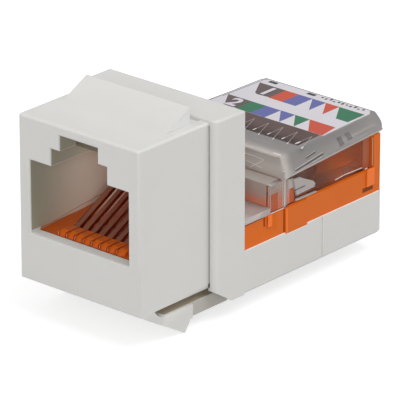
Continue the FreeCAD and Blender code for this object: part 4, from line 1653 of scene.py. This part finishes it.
    def mould_lines(self, dark: Finish, pale: Finish) -> None:
        """Fine sunk lines on the rim's sides drawn as painted shade, with a painted highlight on the edge
        beside each.

        Args:
            dark: Finish of the painted shade lines.
            pale: Finish of the painted highlights beside them.
        """
        lay_on_cap(self.rim_bars(self.dark_runs, self.run_thickness), "rim_lines", dark)
        lay_on_cap(self.rim_bars(self.pale_runs, self.run_thickness), "rim_line_highlights", pale)

    def guide_ribs(self, pale: Finish, bright: Finish) -> None:
        """V-shaped guide ribs close under the roof's surface, drawn pale as painted highlight lines, each leg
        ending in a bead of painted glint.

        Args:
            pale: Finish of the ribs' painted highlight lines.
            bright: Finish of the beads' painted glints.
        """
        ribs, beads = [], []
        level = self.top + self.rib_lift
        for i in range(self.rib_count):
            x = self.rib_first + self.rib_pitch * i
            apex = DATUM.at(x, self.rib_apex, level)
            for step, y, size in self.rib_legs:
                foot = DATUM.at(x + step, y, level)
                ribs.append(ridge(apex, foot, self.rib_width * MM, self.thin * MM, UP))
                grown = size * (self.last_bead if i == self.rib_count - 1 else 1.0)
                length, width = self.bead_length * grown * MM, self.bead_width * grown * MM
                beads.append(bead(foot, length, width, self.bead_height * MM, foot - apex))
        lay_on_cap(ribs, "guide_ribs", pale)
        lay_on_cap(beads, "rib_beads", bright)

    def edge_lights(self, bright: Finish, pale: Finish) -> None:
        """Painted highlights along the crown's front, the step's corner and the skirt.

        Args:
            bright: Finish of the sharpest painted highlights.
            pale: Finish of the softer painted highlights.
        """
        front = self.front - self.front_proud
        sharp, dull = on_both_sides(self.sharp_strips), on_both_sides(self.dull_strips)
        y, z = front + self.roof_line_inset, self.top + self.front_proud
        start, end = ((x, y, z) for x in self.roof_line)
        dull.append(bar(start, end, width=0.06, height=self.thin, up=UP))
        for x0, z0, x1, z1, width in self.front_lines:
            sharp.append(bar((x0, front, z0), (x1, front, z1), width, self.thin, AHEAD))
        x, y, z = self.roof_spot
        spot_size = [length * MM for length in self.roof_spot_size]
        for side in SIDES:
            sharp.append(bead(DATUM.at(side * x, y, z), *spot_size, outward(1)))
            sharp += [self.upright(side, *run) for run in self.bright_uprights]
            dull += [self.upright(side, *run) for run in self.dull_uprights]
        lay_on_cap(sharp, "bright_edge_highlights", bright)
        lay_on_cap(dull, "dull_edge_highlights", pale)

    def upright(self, side: int, x: float, y: float, low: float, high: float, width: float) -> Piece:
        """Upright painted highlight on one side of the cap.

        Args:
            side: 1 for the right side, -1 for the left.
            x: Its place across the jack, in millimetres.
            y: Its place behind the front face.
            low: Its lower end.
            high: Its upper end.
            width: Its width.

        Returns:
            The highlight.
        """
        out = Vector((side, -1, 0)).normalized()
        return bar((side * x, y, low), (side * x, y, high), width, width * self.upright_depth, out)

    def noses(self, hazy: Finish, dark: Finish) -> None:
        """Rounded catches on the skirt under the rim, each with a foot and a fine groove drawn as a painted
        shade line.

        Args:
            hazy: Their finish.
            dark: Finish of the grooves' painted shade lines.
        """
        blocks = both_plates("nose", self.nose_side, self.skirt_half, self.nose_outer)
        blocks += both_plates("nose_foot", self.nose_foot, self.skirt_half, self.nose_outer)
        nose = join_pieces(blocks, "cap_noses")
        soften_edges(nose, self.nose_edge * MM, segments=3)
        dress(nose, hazy, Body.CAP.value)
        lay_on_cap(on_both_sides((self.nose_groove,)), "nose_groove_shades", dark)

    def window_shade(self, shade_film: Finish, top: Finish, corner: Finish) -> None:
        """Painted shade: strips behind the side windows and over the skirt's rear corners.

        The dark part over the window leaves a lit wedge low at the rear.

        Args:
            shade_film: Finish of the painted shade behind the windows.
            top: Finish of the darker painted shade under the rim.
            corner: Finish of the painted shade over the rear corners.
        """
        tops = both_plates("window_top", self.window_dark, *self.window_top_span)
        lay_on_cap(tops, "window_top_shade", top)
        lay_on_cap(on_both_sides((self.window,)), "window_shade", shade_film)
        lay_on_cap(on_both_sides((self.window_corner,)), "skirt_corner_shades", corner)

    def step_haze_and_light(self, haze: Finish, glow: Finish, pale: Finish) -> None:
        """Hazy faces of the step with painted light on them, painted orange glow where the base shines
        through them, and a painted highlight beside each nose.

        Args:
            haze: Finish of the faces, hazy with painted light.
            glow: Finish of the painted orange glow.
            pale: Finish of the painted highlight spots.
        """
        faces = [
            level_bar(*self.step_front, self.film, AHEAD),
            level_bar(*self.step_top, self.film, UP),
            level_bar(*self.step_rise, self.film, AHEAD),
        ]
        lay_on_cap(faces + on_both_sides(self.step_faces), "step_haze_and_light", haze)
        lay_on_cap(on_both_sides(self.step_lit), "step_glow", glow)
        lay_on_cap(on_both_sides(self.step_spots), "pale_spots", pale)

    def rim_shades(self, shade: Finish, line: Finish) -> None:
        """Painted shade where posts show faintly through the rim, and a painted dark line along the roof's
        left edge.

        Args:
            shade: Finish of the painted shade over the posts.
            line: Finish of the painted dark line.
        """
        lay_on_cap(self.rim_bars(self.post_runs, self.film), "rim_shades", shade)
        level = self.top + self.thin / 2
        edges = []
        for x0, y0, x1, y1, width in self.roof_edges:
            edges.append(bar((x0, y0, level), (x1, y1, level), width, self.thin, UP))
        lay_on_cap(edges, "roof_edge_shade_lines", line)


# ---------------------------------------------------------------- label

Fields = dict[Ink, list[Piece]]


def oblong(left: float, right: float, front: float, rear: float) -> Outline:
    """Corners of an oblong, anticlockwise from above."""
    return [(left, front), (right, front), (right, rear), (left, rear)]


@dataclass(frozen=True)
class PrintRow:
    """One row of the label: a banner with its figure, plain cells and cells cut corner to corner.

    Lengths are in millimetres. Plain cells, halved cells and the last one are given by their inks.
    """

    figure: str
    rear: float
    front: float
    banner: float
    first: float
    pitch: float
    right: float
    plain: tuple[Ink, ...]
    halves: tuple[Ink, ...]
    last: Ink


@dataclass
class Label:
    """Printed film on the roof of the cap. Millimetres.

    A figure is printed in layers, each with its ink, its shift and its height in thicknesses of ink.
    """

    rows: tuple[PrintRow, ...] = (
        PrintRow(
            "1", rear=32.85, front=30.3, banner=-6.4, first=-3.1, pitch=1.66, right=6.64,
            plain=(Ink.RED, Ink.BLUE), halves=(Ink.BLUE, Ink.RED, Ink.GREEN), last=Ink.GREEN,
        ),
        PrintRow(
            "2", rear=28.5, front=26.12, banner=-6.66, first=-3.66, pitch=1.79, right=7.0,
            plain=(Ink.GREEN, Ink.BLUE), halves=(Ink.BLUE, Ink.GREEN, Ink.RED), last=Ink.RED,
        ),
    )
    film_front: float = 26.1
    film_half: float = 7.1
    film_corners: tuple[Span, ...] = ((6.82, 33.4), (6.3, 34.05))
    film_proud: float = 0.003
    band_front: float = 22.6
    ink: float = 0.008
    slant: float = 1.4
    banner_bend: Span = (0.4, 0.2)
    banner_rise: float = 0.1
    rear_half: float = 6.64
    figure_inset: float = 1.15
    figure_drop: float = 0.1
    figure_size: float = 2.7
    figure_layers: tuple[tuple[Ink, float, float], ...] = ((Ink.BLACK, 0.13, 1.4), (Ink.FILM, 0.0, 1.8))
    marks: tuple[float, ...] = (-5.4, -0.6)
    mark_front: float = 33.45
    mark_size: Span = (1.0, 0.45)
    tick_count: int = 11
    tick_first: float = 0.75
    tick_pitch: float = 0.5
    tick_front: float = 33.6
    tick_stagger: float = 0.12
    tick_width: float = 0.25
    tick_depth: float = 0.22
    tick_growth: float = 0.1

    def build(self, inks: dict[Ink, Finish], shade_film: Finish) -> None:
        """Lay the film and print its fields.

        Args:
            inks: Finish of each ink.
            shade_film: Finish of the band of painted shade in front of the print.
        """
        box = Box.of("cap_label")
        right = [(self.film_half, self.film_front), *self.film_corners]
        outline = [(-self.film_half, self.film_front), *right, *((-x, y) for x, y in self.film_corners[::-1])]
        film = flat_patch("label_film", outline, box.low.z, box.size.z + self.film_proud * MM)
        dress(film, inks[Ink.FILM], Body.CAP.value)
        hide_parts("cap_label")
        # Painted shade: a dark band on the roof in front of the label.
        half = box.high.x / MM
        outline = oblong(-half, half, self.band_front, self.film_front)
        band = flat_patch("painted_shade_band", outline, box.low.z, box.size.z)
        dress(band, shade_film, Body.CAP.value)
        fields: Fields = {}
        for row in self.rows:
            self.print_row(row, fields)
        self.print_marks(fields)
        for ink, pieces in fields.items():
            lay(pieces, "print_" + ink.name.lower(), inks[ink], Body.CAP)

    def field(self, corners: Outline, fields: Fields, ink: Ink) -> None:
        """Print one straight-sided field.

        Args:
            corners: Its corners (x, y), anticlockwise from above.
            fields: The fields printed so far, by ink.
            ink: Its ink.
        """
        level = Box.of("cap_label").high.z
        piece = flat_patch("field", corners, level - self.ink * MM, 2 * self.ink * MM)
        fields.setdefault(ink, []).append(piece)

    def print_row(self, row: PrintRow, fields: Fields) -> None:
        """Print a row's banner, cells and figure.

        Args:
            row: The row.
            fields: The fields printed so far, by ink.
        """
        front, rear = row.front, row.rear
        tip, (across, up) = row.banner + self.slant, self.banner_bend
        banner = [(row.banner, rear), (tip, front + up), (tip + across, front)]
        banner += [(row.first, front + self.banner_rise), (row.first, rear)]
        self.field(banner, fields, Ink.DARK)
        left = row.first
        for ink in row.plain:
            right = left + row.pitch
            self.field(oblong(left, right, front, rear), fields, ink)
            left = right
        for ink in row.halves:
            right = left + row.pitch
            self.field([(left, rear), (right, front), (right, rear)], fields, ink)
            left = right
        end = [(left, front), (row.right, front), (min(row.right, self.rear_half), rear), (left, rear)]
        self.field(end, fields, row.last)
        level = self.ink * MM
        middle = DATUM.at(row.first - self.figure_inset, (front + rear) / 2 - self.figure_drop, 0)
        middle.z = Box.of("cap_label").high.z
        for ink, shift, rise in self.figure_layers:
            place = middle + Vector((shift * MM, -shift * MM, level * rise - level / 2))
            fields.setdefault(ink, []).append(numeral(row.figure, place, self.figure_size * MM, level))

    def print_marks(self, fields: Fields) -> None:
        """Print the square marks and the row of plain ticks along the rear edge.

        Args:
            fields: The fields printed so far, by ink.
        """
        for x in self.marks:
            self.tick(x, self.mark_front, *self.mark_size, fields)
        for i in range(self.tick_count):
            x = self.tick_first + self.tick_pitch * i
            y = self.tick_front - self.tick_stagger * (i % 2)
            self.tick(x, y, self.tick_width, self.tick_depth + self.tick_growth * (i % 3), fields)

    def tick(self, x: float, y: float, width: float, depth: float, fields: Fields) -> None:
        """Print one dark rectangle.

        Args:
            x: Its middle across the jack.
            y: Its front edge.
            width: Its width.
            depth: Its depth.
            fields: The fields printed so far, by ink.
        """
        self.field(oblong(x - width / 2, x + width / 2, y, y + depth), fields, Ink.BLACK)


# ---------------------------------------------------------------- studio

@dataclass
class Studio:
    """Pale floor, soft light and the camera."""

    camera_place: Place = (0.260863, -0.299037, 0.171022)
    camera_tilt: float = 67.645
    camera_turn: float = 41.1326
    lens: float = 412.6
    sensor: float = 36.0
    floor_size: float = 3.0
    floor_grey: float = 0.5
    floor_glow: float = 0.68
    sky_strength: float = 0.5
    aim_height: float = 0.01

    def build(self) -> None:
        """Make the floor, the light and the camera."""
        self.add_floor()
        self.add_world()
        self.add_lamps()
        self.add_camera()

    def add_floor(self) -> None:
        """Large pale floor that keeps a soft shadow."""
        deselect_all()
        bpy.ops.mesh.primitive_plane_add(size=self.floor_size, location=(0, 0, 0))
        floor = bpy.context.object
        floor.name = "studio_floor"
        material, nodes, shader = start_material("floor paper")
        shader.inputs["Base Color"].default_value = (*(self.floor_grey,) * 3, 1.0)
        shader.inputs["Roughness"].default_value = 1.0
        shader.inputs["Specular IOR Level"].default_value = 0.0
        ray = nodes.add("ShaderNodeLightPath")
        seen = nodes.math("MAXIMUM", ray.outputs["Is Camera Ray"], ray.outputs["Is Glossy Ray"])
        seen = nodes.math("MAXIMUM", seen, ray.outputs["Is Transmission Ray"])
        glow = nodes.add("ShaderNodeEmission", in_Color=(1.0, 1.0, 1.0, 1.0))
        nodes.link(nodes.math("MULTIPLY", seen, self.floor_glow), glow.inputs["Strength"])
        both = nodes.add("ShaderNodeAddShader")
        nodes.link(shader.outputs[0], both.inputs[0])
        nodes.link(glow.outputs[0], both.inputs[1])
        nodes.link(both.outputs[0], material.node_tree.nodes["Material Output"].inputs["Surface"])
        floor.data.materials.append(material)

    def add_world(self) -> None:
        """Even sky that is plain white where it is seen."""
        world = bpy.data.worlds.new("studio sky")
        bpy.context.scene.world = world
        world.use_nodes = True
        nodes = Nodes(world.node_tree)
        sky = world.node_tree.nodes["Background"]
        ray = nodes.add("ShaderNodeLightPath")
        seen = nodes.math("MAXIMUM", ray.outputs["Is Camera Ray"], ray.outputs["Is Transmission Ray"])
        level = nodes.math("MULTIPLY_ADD", seen, 1 - self.sky_strength, self.sky_strength)
        sky.inputs["Color"].default_value = (1.0, 1.0, 1.0, 1.0)
        nodes.link(level, sky.inputs["Strength"])

    def add_lamp(self, name: str, place: Place, size: float, power: float) -> None:
        """Add a square lamp that points at the object.

        Args:
            name: Name of the lamp.
            place: Where it hangs, in metres.
            size: Side of the square.
            power: Power in watts.
        """
        deselect_all()
        bpy.ops.object.light_add(type="AREA", location=place)
        lamp = bpy.context.object
        lamp.name = name
        lamp.data.shape = "SQUARE"
        lamp.data.size = size
        lamp.data.energy = power
        aim = UP * self.aim_height - Vector(place)
        lamp.rotation_euler = aim.to_track_quat("-Z", "Y").to_euler()

    def add_lamps(self) -> None:
        """Key from the upper right, a weak fill from the front left and a soft lamp by the camera."""
        self.add_lamp("key_lamp", (0.26, 0.08, 0.58), size=0.45, power=1.75)
        self.add_lamp("fill_lamp", (-0.4, -0.55, 0.25), size=0.4, power=0.75)
        self.add_lamp("front_lamp", (0.42, -0.5, 0.22), size=0.25, power=1.28)

    def add_camera(self) -> None:
        """Camera at the set place."""
        deselect_all()
        turn = (math.radians(self.camera_tilt), 0.0, math.radians(self.camera_turn))
        bpy.ops.object.camera_add(location=self.camera_place, rotation=turn)
        camera = bpy.context.object
        camera.name = "main_camera"
        camera.data.lens = self.lens
        camera.data.sensor_width = self.sensor
        bpy.context.scene.camera = camera


# ---------------------------------------------------------------- everything together


def main() -> None:
    """Build the jack's pieces and the studio."""
    logging.basicConfig(level=logging.INFO, format="%(name)s: %(message)s")
    surface = moulded_surface_group()
    white = WHITE_PLASTIC.build(surface)
    orange = ORANGE_PLASTIC.build(surface)
    housing = Housing()
    housing.build(white, orange, SLOT_SHADE.build(surface), PORT_WALL_SHADE.build(surface))
    BaseDetails().build(*(finish.build(surface) for finish in (ORANGE_HIGHLIGHT, ORANGE_SHADE, CREAM_HIGHLIGHT)))
    Latch().build(white)
    contacts = Contacts()
    contacts.dress(COMB_PLASTIC.build(surface), CONTACT_METAL.build(surface), TERMINAL_METAL.build(surface))
    contacts.lit_edges([finish.build(surface) for finish in WIRE_HIGHLIGHTS])
    contacts.finger_details(*(finish.build(surface) for finish in (FINGER_TIP_HIGHLIGHT, FINGER_GAP_SHADE, PORT_SEAM)))
    housing.white_details(*(finish.build(surface) for finish in (LIT_WHITE, FAIR_WHITE, ARM_SHADE, ARM_TOP_SHADE)))
    paint_node("circuit_board", BOARD_MASK.build(surface))
    cap = Cap()
    cap.build(*(finish.build(surface) for finish in (CROWN_PLASTIC, SKIRT_PLASTIC, TONGUE_PLASTIC)))
    dark, pale, bright = (finish.build(surface) for finish in (LINE_SHADE, SOFT_EDGE_LIGHT, EDGE_LIGHT))
    cap.mould_lines(dark, pale)
    cap.guide_ribs(pale, bright)
    cap.edge_lights(bright, pale)
    cap.noses(NOSE_PLASTIC.build(surface), dark)
    cap.window_shade(*(finish.build(surface) for finish in (WINDOW_SHADE, WINDOW_TOP, SKIRT_CORNER)))
    cap.step_haze_and_light(STEP_HAZE_AND_LIGHT.build(surface), STEP_GLOW.build(surface), pale)
    cap.rim_shades(RIM_SHADE.build(surface), ROOF_SHADE_LINE.build(surface))
    inks = {ink: ink.value.build(surface) for ink in Ink}
    Label().build(inks, SHADE_BAND.build(surface))
    bpy.context.scene.view_settings.view_transform = "Standard"
    Studio().build()


if __name__ == "__main__":
    main()
